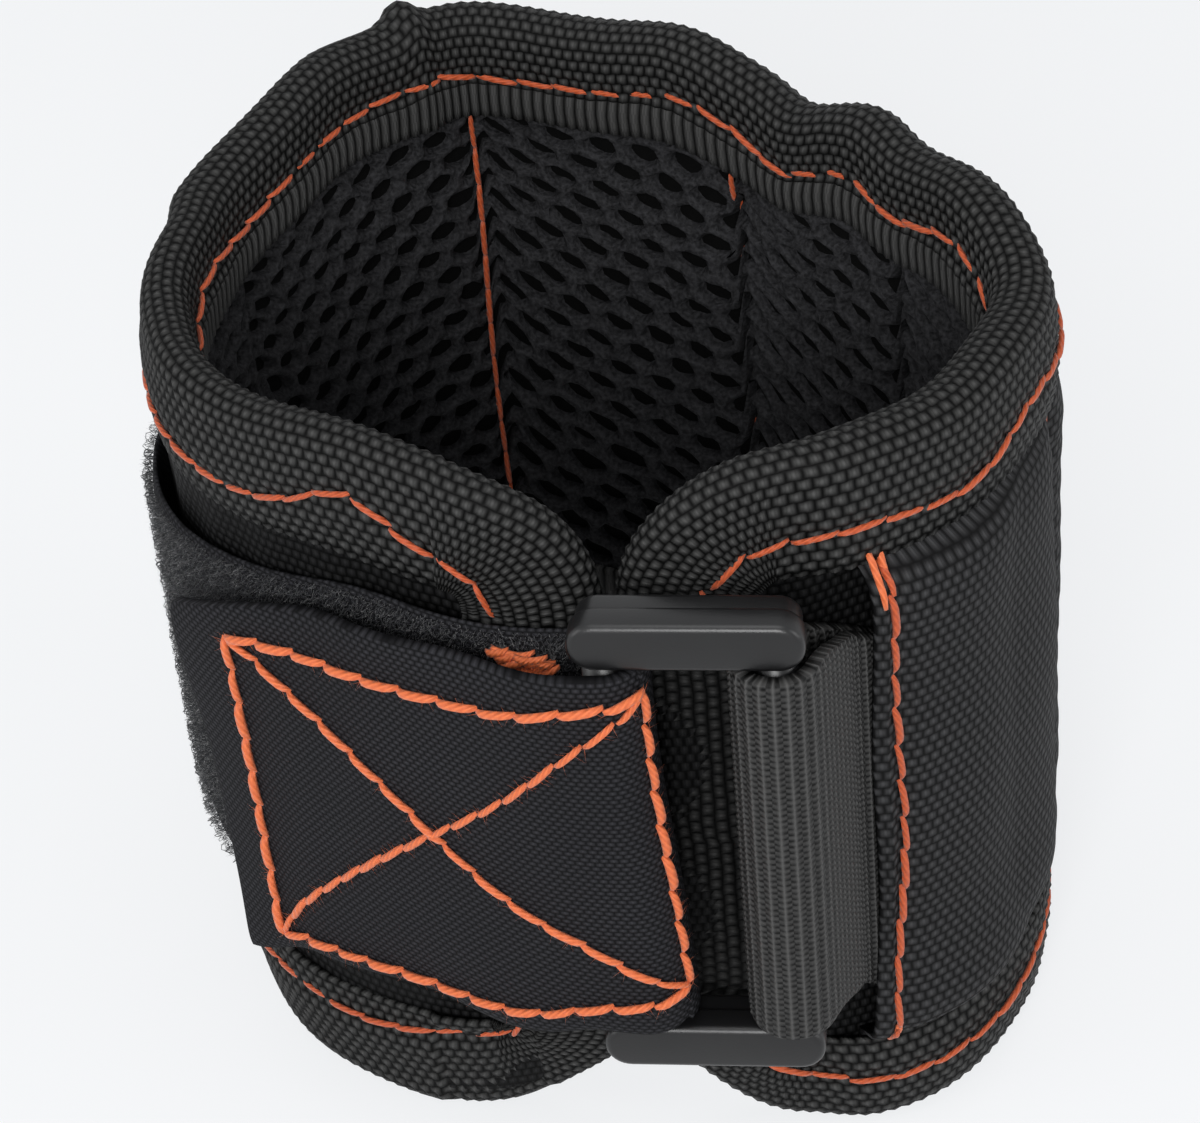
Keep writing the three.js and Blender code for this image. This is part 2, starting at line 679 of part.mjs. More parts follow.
SEAMS.slice(0, -1).forEach((seam, pocket) => {
  const middle = (seam + SEAMS[pocket + 1]) / 2;
  for (let row = 0; row < MAGNET_ROWS; row += 1) {
    const magnet = magnetAt(middle, MIDDLE + (row - (MAGNET_ROWS - 1) / 2) * MAGNET_ROW_PITCH);
    magnet.name = `magnet_pocket${pocket + 1}_row${row + 1}`;
    wristband.add(magnet);
  }
});

const evenStrap = [() => STRAP_BOTTOM, () => STRAP_TOP];
const tiltedStrap = evenStrap.map((edge) => (share) => edge() - strapDrop(share));
add("loop_strap", ribbon(strapPath, STRAP_THICKNESS, ...tiltedStrap), LOOP_TAPE);
add("strap_bend", ribbon(bendPath, STRAP_THICKNESS, ...evenStrap), LOOP_TAPE);
add("strap_tab", tabRibbon(BAR_S + CLEARANCE, TAB_TIP, tabMiddle, STRAP_WIDTH, STRAP_THICKNESS), LOOP_TAPE);
const hookMiddle = (s) => tabMiddle(s) - STRAP_THICKNESS / 2 - CLEARANCE - HOOK_THICKNESS / 2;
const hookSpan = [BAR_S + HOOK_START, TAB_TIP - HOOK_MARGIN];
add("hook_pad", tabRibbon(...hookSpan, hookMiddle, HOOK_WIDTH, HOOK_THICKNESS), HOOK_TAPE);
add("elastic_loop", elasticGeometry(), ELASTIC_WEB);

const ring = add("ring", ringGeometry(), MOULDED_PLASTIC);
ring.position.set(leftBar.x, leftBar.y, STRAP_MIDDLE);
ring.rotation.z = -RING_YAW;

// The origin is on the floor, under the middle of the whole object.
const box = new THREE.Box3().setFromObject(wristband, true);
const centre = box.getCenter(new THREE.Vector3());
wristband.children.forEach((child) => {
  child.position.x -= centre.x;
  child.position.y -= centre.y;
  child.position.z -= box.min.z;
});

// Upright axes that the band's halves and the tab turn about.
const spine = planOffset(0, bindingOuter(0) + BINDING_THICKNESS + CLEARANCE);
wristband.userData.axes = {
  spine: [spine.x - centre.x, spine.y - centre.y],
  leftBar: [leftBar.x - centre.x, leftBar.y - centre.y],
  rightBar: [rightBar.x - centre.x, rightBar.y - centre.y],
};

export default wristband;
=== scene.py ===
# %% [markdown]
# # A magnetic wristband
# The band is a sandwich of cloth layers, bent into a hoop and bound all round its edge with tape.
# This lesson dresses a plain solid model of it: each soft solid is replaced by a piece that is made
# like the real cloth, and each piece keeps the place of the solid it stands for. Pieces that ride on
# one body are parented to an empty named after it.

# %% Load the frame
import json
import math

import bmesh
import bpy
import numpy as np
from mathutils import Matrix, Vector


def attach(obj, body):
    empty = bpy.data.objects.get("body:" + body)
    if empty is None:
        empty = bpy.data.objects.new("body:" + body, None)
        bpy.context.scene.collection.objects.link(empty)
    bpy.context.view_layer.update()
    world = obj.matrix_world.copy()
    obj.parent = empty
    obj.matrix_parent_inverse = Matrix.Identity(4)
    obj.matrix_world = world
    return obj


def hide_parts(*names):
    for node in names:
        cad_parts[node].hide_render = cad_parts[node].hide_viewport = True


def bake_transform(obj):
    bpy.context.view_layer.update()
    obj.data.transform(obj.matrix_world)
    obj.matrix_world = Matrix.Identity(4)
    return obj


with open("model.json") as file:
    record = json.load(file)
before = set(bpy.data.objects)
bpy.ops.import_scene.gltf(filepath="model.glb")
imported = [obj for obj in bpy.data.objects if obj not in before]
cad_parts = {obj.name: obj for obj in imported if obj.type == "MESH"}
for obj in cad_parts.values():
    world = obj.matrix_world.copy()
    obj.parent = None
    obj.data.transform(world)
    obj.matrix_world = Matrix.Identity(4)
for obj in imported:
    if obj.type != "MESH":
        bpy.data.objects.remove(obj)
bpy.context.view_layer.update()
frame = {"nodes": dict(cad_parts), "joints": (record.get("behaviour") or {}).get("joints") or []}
scene = bpy.context.scene
MM = 0.001

# %% [markdown]
# ## Coordinates on the hoop
# Cloth is cut flat, so it is easiest to draw it flat. Every layer here is placed by three lengths in
# millimetres: s along the band from the stitched spine at the back, d outwards from the face of the
# backing cloth, and z up. The plan of the hoop is four quarter curves between its apexes, as in the
# solid model, and one function turns s, d and z into a point.

# %% Rows of points


def rows_of(*columns):
    """Columns of numbers side by side, as points or vectors."""
    return np.stack(np.broadcast_arrays(*columns), axis=-1)


def run_along(points):
    """The length run up to each point of a row of points."""
    return np.concatenate([[0], np.cumsum(np.linalg.norm(np.diff(points, axis=0), axis=1))])


def along_row(points, run, marks):
    """The points at given lengths along a row of points."""
    return rows_of(*[np.interp(marks, run, column) for column in points.T])


def unit(vectors):
    """The same directions with length 1."""
    return vectors / np.linalg.norm(vectors, axis=-1, keepdims=True)


def left_of(run):
    """The plan direction on the left of another one."""
    return rows_of(-run[..., 1], run[..., 0])


print("length of a row of three points", run_along(np.eye(3)).round(2))

# %% Plan of the hoop
HOOP_WIDTH = 73.4
HOOP_DEPTH = 75
LEFT_APEX_Y = -2.5
RIGHT_APEX_Y = -11.5
BACK_APEX_X = -8.8
FRONT_APEX_X = 6.2
BACK_LEFT_FULLNESS = 1.7
BACK_RIGHT_FULLNESS = 1.55
FRONT_RIGHT_FULLNESS = 2
FRONT_LEFT_FULLNESS = 1.95
PLAN_SAMPLES = 240
NORMAL_REACH = 4


def quarter(side, other, fullness, from_side):
    """A quarter curve between two apexes, as a row of plan points."""
    share = np.arange(PLAN_SAMPLES) / PLAN_SAMPLES
    turn = (share if from_side else 1 - share) * math.pi / 2
    across = np.clip(np.cos(turn), 0, 1) ** (2 / fullness)
    along = np.sin(turn) ** (2 / fullness)
    return rows_of(other[0] + (side[0] - other[0]) * across, side[1] + (other[1] - side[1]) * along)


left_apex = (-HOOP_WIDTH / 2, LEFT_APEX_Y)
right_apex = (HOOP_WIDTH / 2, RIGHT_APEX_Y)
back_apex = (BACK_APEX_X, HOOP_DEPTH / 2)
front_apex = (FRONT_APEX_X, -HOOP_DEPTH / 2)
plan = np.concatenate([
    quarter(right_apex, back_apex, BACK_RIGHT_FULLNESS, False),
    quarter(right_apex, front_apex, FRONT_RIGHT_FULLNESS, True),
    quarter(left_apex, front_apex, FRONT_LEFT_FULLNESS, False),
    quarter(left_apex, back_apex, BACK_LEFT_FULLNESS, True),
])
plan = np.vstack([plan, plan[:1]])
plan_run = run_along(plan)
PERIMETER = plan_run[-1]
FRONT_S = plan_run[2 * PLAN_SAMPLES]


def plan_at(s):
    """The plan point of the backing's face at length s."""
    return along_row(plan, plan_run, np.mod(s, PERIMETER))


def outward_at(s):
    """The outward direction at s, taken over a short stretch so that it turns smoothly."""
    return left_of(unit(plan_at(s + NORMAL_REACH) - plan_at(s - NORMAL_REACH)))


def plan_offset(s, d):
    """A plan point at length s and distance d outwards."""
    return plan_at(s) + outward_at(s) * np.asarray(d)[..., None]


print("hoop perimeter", round(PERIMETER, 2), "mm")

# %% Sizes shared by the layers
BAND_HEIGHT = 75
CORNER_RADIUS = 13
END_GAP = 1
CLEARANCE = 0.3
ENDS_MEET_LEFT_OF_FRONT = 6.5
RIGHT_END = FRONT_S + ENDS_MEET_LEFT_OF_FRONT - END_GAP / 2
LEFT_END = FRONT_S + ENDS_MEET_LEFT_OF_FRONT + END_GAP / 2 - PERIMETER
SEAM_LEFT = -35
SEAM_BACK = 29
SEAM_BACK_RIGHT = 50.5
SEAM_SIDE = 74.5
SEAM_RIGHT = FRONT_S - 14.8
SEAMS = [SEAM_LEFT, 0, SEAM_BACK, SEAM_BACK_RIGHT, SEAM_SIDE, SEAM_RIGHT]
SPINE_D = 2.5
hinge = next(joint for joint in frame["joints"] if joint["name"] == "band_flex")
spine = np.array(hinge["pos_m"][:2]) / MM
hoop_to_frame = spine - plan_offset(0, SPINE_D)
print("hoop centre in the frame", hoop_to_frame.round(3), "mm")

# %% [markdown]
# ## What use has done to the cloth
# A sewn band is never as even as its pattern. Its rim waves, its lower right edge flares, and the
# tape puckers where its ends overlap. These are small pushes, up and outwards, that depend only on
# s and z, so that all layers move together and none cuts through its neighbour. Each hump below is
# a height, a middle and a width along s, and each wave is a height, a length and a phase.

# %% Waves of the cloth


def smooth(x, start, end):
    """Eases from 0 at start to 1 at end."""
    share = np.clip((np.asarray(x, float) - start) / (end - start), 0, 1)
    return share * share * (3 - 2 * share)


def between(x, start, full, fades, end):
    """Eases in from start to full, and out again from fades to end."""
    return smooth(x, start, full) * (1 - smooth(x, fades, end))


def swell(x, middle, width):
    """A single soft hump of height 1."""
    return np.exp(-(((np.asarray(x, float) - middle) / width) ** 2))


def humps(x, rows):
    """A sum of humps."""
    return sum(height * swell(x, middle, width) for height, middle, width in rows)


def waves(x, rows):
    """A sum of sine waves."""
    return sum(height * np.sin(x / length + phase) for height, length, phase in rows)


print("half way between 0 and 1", float(smooth(0.25, 0, 0.5)))

# %% Rise and lean of the cloth
RIM_FROM = 48
LEAN_FROM = 44
TOP_FULL = 74
LOW_PART = 26
RIM_LEVEL = -1.2
RIM_WAVES = [(0.35, 7.4, 0.6), (0.25, 3.3, 2.1)]
RIM_HUMPS = [(-0.6, 5, 8), (-1.3, 37, 4.5), (1.2, 46, 5), (1, -16, 6), (1.6, 24, 6), (1.2, 60, 7)]
RIM_HUMPS += [(1.6, -84, 14), (0.9, 100, 20), (-0.8, -40, 10)]
FOOT_LEVEL = 0.3
FOOT_WAVES = [(0.3, 6.1, 0)]
FOOT_HUMPS = [(5.2, LEFT_END + 3, 10), (5.4, RIGHT_END - 1, 9)]
LEAN_WAVES = [(0.35, 5.2, 1.3), (0.2, 2.7, 0)]
LEAN_HUMPS = [(0.4, -80, 10), (-1, 37, 4), (0.9, 46, 4), (-1.1, -29, 7), (0.35, -48, 7), (0.9, 65, 7)]
FLARE_WAVES = [(0.4, 6.6, 0)]
FLARE_HUMPS = [(1.5, 93, 11), (0.5, -80, 10), (-0.7, -53, 8)]


def rim_rise(s, z):
    """How far the cloth stands up out of its pattern."""
    rim = RIM_LEVEL + waves(s, RIM_WAVES) + humps(s, RIM_HUMPS)
    foot = FOOT_LEVEL + waves(s, FOOT_WAVES) + humps(s, FOOT_HUMPS)
    return smooth(z, RIM_FROM, TOP_FULL) * rim + (1 - smooth(z, 0, LOW_PART)) * np.clip(foot, 0, None)


def cloth_lean(s, z):
    """How far the cloth leans outwards from its pattern."""
    lobes = waves(s, LEAN_WAVES) + humps(s, LEAN_HUMPS)
    flare = waves(s, FLARE_WAVES) + humps(s, FLARE_HUMPS)
    return smooth(z, LEAN_FROM, TOP_FULL) * lobes + (1 - smooth(z, 0, LOW_PART)) * flare


def place(s, d, z):
    """The point at length s, distance d and height z, in metres in the model's frame."""
    s, d, z = (np.asarray(value, float) for value in np.broadcast_arrays(s, d, z))
    flat = plan_offset(s, d + cloth_lean(s, z)) + hoop_to_frame
    height = z + rim_rise(s, z)
    return np.concatenate([flat, height[..., None]], axis=-1) * MM


print("front of the band", place(FRONT_S, 0, BAND_HEIGHT / 2).round(4))

# %% [markdown]
# ## Camera, floor and light
# The camera was fitted to the photograph: it looks down at about 39 degrees through a long lens and
# leans a little to the right. The floor and the world are pale to the camera, while the light on the
# object stays at a plain level, from one large soft lamp above the camera and a fill from each side.
# Each lamp below is a place in metres, a size and a power.

# %% Camera
CAMERA_IN_HOOP = np.array([-0.479, -277.731, 264.119])
CAMERA_ELEVATION = math.radians(39.294)
CAMERA_ROLL = math.radians(5.272)
PHOTO_WIDTH = 1200
FOCAL_PIXELS = 3976.05
SENSOR = 36
NEAREST = 0.01


def added(name, data):
    """A new object in the scene."""
    made = bpy.data.objects.new(name, data)
    scene.collection.objects.link(made)
    return made


level_right = Vector((1, 0, 0))
level_up = Vector((0, math.sin(CAMERA_ELEVATION), math.cos(CAMERA_ELEVATION)))
camera_right = level_right * math.cos(CAMERA_ROLL) - level_up * math.sin(CAMERA_ROLL)
camera_up = level_up * math.cos(CAMERA_ROLL) + level_right * math.sin(CAMERA_ROLL)
camera_back = camera_right.cross(camera_up)
camera_data = bpy.data.cameras.new("camera")
camera_data.sensor_width = SENSOR
camera_data.lens = FOCAL_PIXELS * SENSOR / PHOTO_WIDTH
camera_data.clip_start = NEAREST
camera = added("camera", camera_data)
turned = Matrix((camera_right, camera_up, camera_back)).transposed().to_4x4()
camera_at = Vector((*(CAMERA_IN_HOOP[:2] + hoop_to_frame), CAMERA_IN_HOOP[2])) * MM
camera.matrix_world = Matrix.Translation(camera_at) @ turned
scene.camera = camera
scene.view_settings.view_transform = "Standard"
print("lens", round(camera_data.lens, 2), "mm")

# %% [markdown]
# ## A class for node maths
# Materials and geometry trees are both graphs of nodes. One small class wraps a socket, so that sums
# of sockets can be written as plain Python expressions. Any other node comes from its one method,
# which takes the node's type, the values or links of its inputs, and its settings.

# %% Signal


def maths(operation, swapped=False):
    """A method that makes a maths node from a signal and the other operand, if there is one."""

    def method(self, *others):
        values = (*others, self) if swapped else (self, *others)
        return self.node("ShaderNodeMath", dict(enumerate(values)), operation=operation)

    return method


class Signal:
    """A node's output socket that can be used in sums."""

    def __init__(self, tree, socket=None):
        self.tree = tree
        self.socket = socket

    def node(self, kind, values=None, out=0, **settings):
        """An output of a new node in the same tree."""
        made = self.tree.nodes.new(kind)
        for name, value in settings.items():
            setattr(made, name, value)
        for key, value in (values or {}).items():
            if isinstance(value, Signal):
                self.tree.links.new(value.socket, made.inputs[key])
            else:
                made.inputs[key].default_value = value
        return Signal(self.tree, made.outputs[out])

    def beside(self, out):
        """Another output of the same node."""
        return Signal(self.tree, self.socket.node.outputs[out])

    def mixed(self, low, high):
        """A colour from low, where the signal is 0, to high, where it is 1."""
        return self.node("ShaderNodeMix", {0: self, 6: low, 7: high}, out=2, data_type="RGBA")

    __add__ = __radd__ = maths("ADD")
    __sub__ = maths("SUBTRACT")
    __rsub__ = maths("SUBTRACT", swapped=True)
    __mul__ = __rmul__ = maths("MULTIPLY")
    __truediv__ = maths("DIVIDE")
    __pow__ = maths("POWER")
    __mod__ = maths("FLOORED_MODULO")
    __gt__ = maths("GREATER_THAN")
    sin = maths("SINE")
    abs = maths("ABSOLUTE")
    floor = maths("FLOOR")
    rounded = maths("ROUND")
    over = maths("MAXIMUM")


def rgb(red, green, blue):
    """An opaque colour."""
    return (red, green, blue, 1)


print("signals ready")

# %% Floor, world and lamps
PALE = rgb(0.898, 0.91, 0.925)
SKY = rgb(0.95, 0.97, 1)
SKY_LIGHT = 0.12
SHADOW_SHARE = 0.3
FLOOR_GLOW = 1.12
FLOOR_HALF = 3
LAMPS_AIM = Vector((0, 0, 0.04))
LAMPS = {
    "key": ((-0.12, -0.98, 0.62), 0.5, 9.5),
    "above": ((0, -0.1, 1.1), 0.6, 2.6),
    "left_fill": ((-0.9, -0.25, 0.4), 0.5, 2.4),
    "right_fill": ((0.9, -0.3, 0.4), 0.5, 2.4),
}


def lit_and_seen(owner, output, lit, seen, seen_share):
    """One shader for the light, and another for what the camera sees, also by a mirror or glass."""
    owner.use_nodes = True
    tree = owner.node_tree
    tree.nodes.clear()
    start = Signal(tree)
    path = start.node("ShaderNodeLightPath")
    plain = path.over(path.beside("Is Glossy Ray")).over(path.beside("Is Transmission Ray"))
    shaders = {1: start.node(*lit), 2: start.node(*seen)}
    either = start.node("ShaderNodeMixShader", {0: plain * seen_share, **shaders})
    tree.links.new(either.socket, tree.nodes.new(output).inputs["Surface"])


scene.world = bpy.data.worlds.new("pale_world")
sky = ("ShaderNodeBackground", {"Color": SKY, "Strength": SKY_LIGHT})
paper = ("ShaderNodeBackground", {"Color": PALE, "Strength": 1})
lit_and_seen(scene.world, "ShaderNodeOutputWorld", sky, paper, 1)

floor_finish = bpy.data.materials.new("pale_floor")
matt = ("ShaderNodeBsdfDiffuse", {"Color": PALE})
glow = ("ShaderNodeEmission", {"Color": PALE, "Strength": FLOOR_GLOW})
lit_and_seen(floor_finish, "ShaderNodeOutputMaterial", matt, glow, 1 - SHADOW_SHARE)
floor_mesh = bpy.data.meshes.new("floor")
corners = [(-1, -1), (1, -1), (1, 1), (-1, 1)]
floor_mesh.from_pydata([(x * FLOOR_HALF, y * FLOOR_HALF, 0) for x, y in corners], [], [(0, 1, 2, 3)])
floor_mesh.materials.append(floor_finish)
floor = added("floor", floor_mesh)

for name, (at, size, power) in LAMPS.items():
    lamp_data = bpy.data.lights.new(name, "AREA")
    lamp_data.size = size
    lamp_data.energy = power
    lamp = added(name, lamp_data)
    lamp.location = at
    lamp.rotation_euler = (LAMPS_AIM - Vector(at)).to_track_quat("-Z", "Y").to_euler()
print("stage set with", len(LAMPS), "lamps")

# %% [markdown]
# ## Finishes
# Every cloth here is black, so what tells one from another is the relief of its yarns and how they
# catch the light. A plain weave shows as staggered rows of short floats, where one set of yarns
# passes over the other. The height of the floats drives both the bump and the colour: the colour is
# painted shade in the gaps between yarns and a painted highlight on their crowns. Each cloth piece
# carries a UV map in millimetres along its own yarns, so the weave bends with the cloth.

# %% Helpers for finishes


def new_finish(name, roughness, **constants):
    """A material with one principled shader, and a signal to start its expressions from."""
    finish = bpy.data.materials.new(name)
    finish.use_nodes = True
    shader = finish.node_tree.nodes["Principled BSDF"]
    for label, value in {"Roughness": roughness, **constants}.items():
        shader.inputs[label.replace("_", " ")].default_value = value
    return finish, shader, Signal(finish.node_tree)


def wire(shader, **signals):
    """Links signals to a shader's sockets."""
    for label, signal in signals.items():
        signal.tree.links.new(signal.socket, shader.inputs[label.replace("_", " ")])


def cloth_uv(start):
    """The two lengths along a piece's own yarns, in millimetres."""
    uv = start.node("ShaderNodeUVMap", uv_map="cloth")
    along = start.node("ShaderNodeSeparateXYZ", {0: uv})
    return along, along.beside(1), uv


def object_at(start):
    """The place on a piece, in metres."""
    return start.node("ShaderNodeTexCoord", out="Object")


def speckle(start, vector, scale, detail=2):
    """Soft noise round 0, at most about 0.5 either way."""
    return start.node("ShaderNodeTexNoise", {"Vector": vector, "Scale": scale, "Detail": detail}) - 0.5


def relief(start, height, depth):
    """A normal from a height between 0 and 1, for a real depth in millimetres."""
    return start.node("ShaderNodeBump", {"Height": height, "Strength": 1, "Distance": depth * MM})


def hill(turns):
    """A row of rounded hills, one for each whole turn, with a sharp valley at each whole number."""
    return (turns * math.pi).sin().abs()


print("helpers for finishes ready")

# %% Weave
CLOTH_GLOSS = 0.06
DRIFT_SCALE = 0.35
DRIFT = 0.25
FLOAT_ENDS = 1.35
FILAMENTS = 3
FILAMENT_SHARE = 0.25
PATCH_SCALE = 0.09
ROUGHNESS_PLAY = 0.2
# Painted shade on the binding: how squarely its stretch ends, and how much darker it makes the tape.
PAINTED_SHADE_SQUARE = 6
PAINTED_SHADE_STRENGTH = 0.6


def woven(start, brick, row, slim, ribbed=None):
    """Height of a plain weave: staggered rows of short floats, and plain ribs past a length across."""
    along, across, uv = cloth_uv(start)
    drift = speckle(start, uv, DRIFT_SCALE) * DRIFT
    rows = across / row + drift + 0.5
    turns = along / brick + rows.floor() % 2 * 0.5 + drift + 0.5
    floats = hill(turns) ** (slim * FLOAT_ENDS) * hill(rows) ** slim
    if ribbed:
        ribs = hill(along / brick + 0.5) ** slim
        floats = floats + (ribs - floats) * (across > ribbed)
    return floats * (hill(turns * FILAMENTS) * FILAMENT_SHARE + 1 - FILAMENT_SHARE), uv


def cloth_finish(name, weave, depth, gap, crown, roughness, worn=0.25, ribbed=None, painted_shade_along=None):
    """A woven cloth: painted shade in its gaps, painted highlights on its crowns, uneven wear, and a
    stretch of painted shade.
    """
    finish, shader, start = new_finish(name, roughness, Specular_IOR_Level=CLOTH_GLOSS)
    height, uv = woven(start, *weave, ribbed=ribbed)
    patch = speckle(start, uv, PATCH_SCALE, 3) * worn
    lit = height * (1 + patch)
    # Painted shade: the tape is darkened along a stretch of its length, where it lies between the tab, the
    # elastic and the ring.
    if painted_shade_along:
        middle, half = painted_shade_along
        near = (1 - ((cloth_uv(start)[0] - middle) / half).abs() ** PAINTED_SHADE_SQUARE).over(0)
        lit = lit * (1 - near * PAINTED_SHADE_STRENGTH)
    # Painted shade and highlight: the colour runs from the gap colour in the gaps to the crown colour on
    # the floats' crowns.
    wire(shader, Base_Color=lit.mixed(gap, crown), Roughness=roughness + patch * ROUGHNESS_PLAY)
    wire(shader, Normal=relief(start, height, depth))
    return finish


print("weave ready")

# %% Cloth finishes
YARN_ALONG = 0.62
YARN_ACROSS = 1.03
PLAIN_YARNS = 20.5
RIBBED_FROM = PLAIN_YARNS * YARN_ACROSS
SHELL_WEAVE = (0.95, 0.92, 1)
BINDING_WEAVE = (2 * YARN_ALONG, YARN_ACROSS, 1)
TAB_WEAVE = (0.68, 0.46, 1)
UPRIGHT = BAND_HEIGHT - 2 * CORNER_RADIUS
TOP_RUN = RIGHT_END - LEFT_END - 2 * CORNER_RADIUS
# The stretch of painted shade on the binding: its upright at the band's right end beside the ring, and a
# little past it.
PAINTED_SHADE_PAST = 5
PAINTED_SHADE_BESIDE_RING = (TOP_RUN + CORNER_RADIUS * math.pi / 2 + UPRIGHT / 2, UPRIGHT / 2 + PAINTED_SHADE_PAST)
# For each cloth below, gap is the painted shade between its yarns and crown the painted highlight on them.
SHELL_CLOTH = cloth_finish(
    "shell_cloth",
    SHELL_WEAVE,
    depth=0.2,
    gap=rgb(0.005, 0.005, 0.0052),
    crown=rgb(0.054, 0.054, 0.0563),
    roughness=0.6,
)
# Painted shade: the backing's colours are far darker than the shell's, because it shows only in the
# recesses beside the strap, the tab and the elastic.
BACKING_SHADED_CLOTH = cloth_finish(
    "backing_cloth",
    SHELL_WEAVE,
    depth=0.2,
    gap=rgb(0.001, 0.001, 0.001),
    crown=rgb(0.016, 0.016, 0.0166),
    roughness=0.6,
)
BINDING_TAPE = cloth_finish(
    "binding_tape",
    BINDING_WEAVE,
    depth=0.3,
    gap=rgb(0.0012, 0.0012, 0.0012),
    crown=rgb(0.072, 0.072, 0.071),
    roughness=0.55,
    ribbed=RIBBED_FROM,
    painted_shade_along=PAINTED_SHADE_BESIDE_RING,
)
TAB_TAPE = cloth_finish(
    "tab_tape",
    TAB_WEAVE,
    depth=0.09,
    gap=rgb(0.005, 0.005, 0.0056),
    crown=rgb(0.036, 0.036, 0.0408),
    roughness=0.7,
    worn=0.5,
)
print("woven finishes", SHELL_CLOTH.name, BINDING_TAPE.name, TAB_TAPE.name)

# %% [markdown]
# The knitted mesh, the loop pile and the hooks get their relief from real geometry, so their finishes
# need only the fine grain of the yarn. The elastic has its cords as geometry too, and its finish adds
# the small beads between them, with painted highlights on cords and beads and painted shade in the
# gaps. The thread is two plies twisted together: slanted stripes across each stitch, a painted
# highlight on the crown of a ply and painted shade in deeper orange between them.

# %% Yarn finishes
YARN_GLOSS = 0.1
FIBRE_DARK = 0.45
FIBRE_LIGHT = 1.5


def yarn_finish(name, shade, roughness, grain, depth, contrast=1, **constants):
    """Fibrous yarn: fine noise in colour and relief."""
    finish, shader, start = new_finish(name, roughness, Specular_IOR_Level=YARN_GLOSS, **constants)
    fibre = speckle(start, object_at(start), grain, 4)
    dark, light = (rgb(*[channel * level for channel in shade]) for level in (FIBRE_DARK, FIBRE_LIGHT))
    wire(shader, Base_Color=(fibre * contrast + 0.5).mixed(dark, light))
    wire(shader, Normal=relief(start, fibre + 0.5, depth))
    return finish


KNIT_MESH = yarn_finish(
    "knit_mesh", (0.026, 0.026, 0.028), roughness=0.85, grain=2400, depth=0.3, contrast=3
)
# Painted shade: the foam under the net is near black, for the shaded depth seen through the holes.
MESH_DEPTH_SHADE = yarn_finish(
    "mesh_depth", (0.0015, 0.0015, 0.0015), roughness=0.95, grain=1800, depth=0.1
)
PILE_YARN = yarn_finish(
    "pile_yarn", (0.017, 0.0185, 0.022), roughness=0.8, grain=2000, depth=0.03, Sheen_Weight=0.4
)
HOOK_PLASTIC = yarn_finish(
    "hook_plastic", (0.012, 0.012, 0.013), roughness=0.5, grain=900, depth=0.02
)
print("yarn finishes", KNIT_MESH.name, MESH_DEPTH_SHADE.name, PILE_YARN.name, HOOK_PLASTIC.name)

# %% Elastic and thread
RIB_PITCH = 0.98
BEAD_PITCH = 0.64
CORD_SLIM = 10
CORD_HEIGHT = 0.8
BEAD_HEIGHT = 0.42
ELASTIC_FUZZ = 0.5
# Painted shade in the gaps and painted highlight on the crowns of cords and beads.
ELASTIC_GAP_SHADE = rgb(0.0008, 0.0008, 0.0008)
ELASTIC_CROWN_HIGHLIGHT = rgb(0.088, 0.087, 0.086)
ELASTIC_RELIEF = 0.2


def elastic_finish():
    """Upright cords and columns of beads, with painted highlights on them and painted shade in the gaps."""
    finish, shader, start = new_finish("elastic_yarn", 0.55, Specular_IOR_Level=0.15)
    along, across, uv = cloth_uv(start)
    drift = speckle(start, uv, 0.5) * 0.2
    column = along / RIB_PITCH
    cord = hill(column) ** CORD_SLIM
    bead = hill(across / BEAD_PITCH + column.floor() % 2 * 0.5 + drift) ** 2
    fuzz = speckle(start, uv, 2.5, 3)
    height = cord * CORD_HEIGHT + (1 - cord) * (bead * BEAD_HEIGHT + fuzz * ELASTIC_FUZZ)
    wire(shader, Base_Color=height.mixed(ELASTIC_GAP_SHADE, ELASTIC_CROWN_HIGHLIGHT))
    wire(shader, Normal=relief(start, height, ELASTIC_RELIEF))
    return finish


ELASTIC_YARN = elastic_finish()
THREAD_PLY = 0.85
PLY_SHARE = 0.35
THREAD_FUZZ = 0.5
THREAD_LEVEL = 0.45
THREAD_RELIEF = 0.06


def thread_finish(name, deep, bright):
    """Two twisted plies: painted shade in deep orange between them, painted highlight in bright orange on
    their crowns.
    """
    finish, shader, start = new_finish(name, 0.6, Sheen_Weight=0.15)
    along, around, uv = cloth_uv(start)
    ply = ((along / THREAD_PLY + around) * (2 * math.pi)).sin() * 0.5 + 0.5
    tone = ply * PLY_SHARE + speckle(start, uv, 3, 3) * THREAD_FUZZ + THREAD_LEVEL
    wire(shader, Base_Color=tone.mixed(deep, bright), Normal=relief(start, ply, THREAD_RELIEF))
    return finish


ORANGE_THREAD = thread_finish("orange_thread", rgb(0.45, 0.062, 0.012), rgb(0.86, 0.2, 0.058))
# The edge thread is darker than the tab's: partly a deeper orange, and partly painted shade where it sits
# down in the tape.
EDGE_THREAD_SHADED = thread_finish("edge_thread", rgb(0.26, 0.026, 0.004), rgb(0.62, 0.105, 0.021))
print("ribbed and twisted finishes", ELASTIC_YARN.name, ORANGE_THREAD.name, EDGE_THREAD_SHADED.name)

# %% [markdown]
# The ring is black plastic with a fine moulded grain and the smears of use. The magnets are nickel
# plated. They stay hidden in their pockets, and keep the solids of the model.

# %% Hard finishes
GRAIN_RELIEF = 0.01


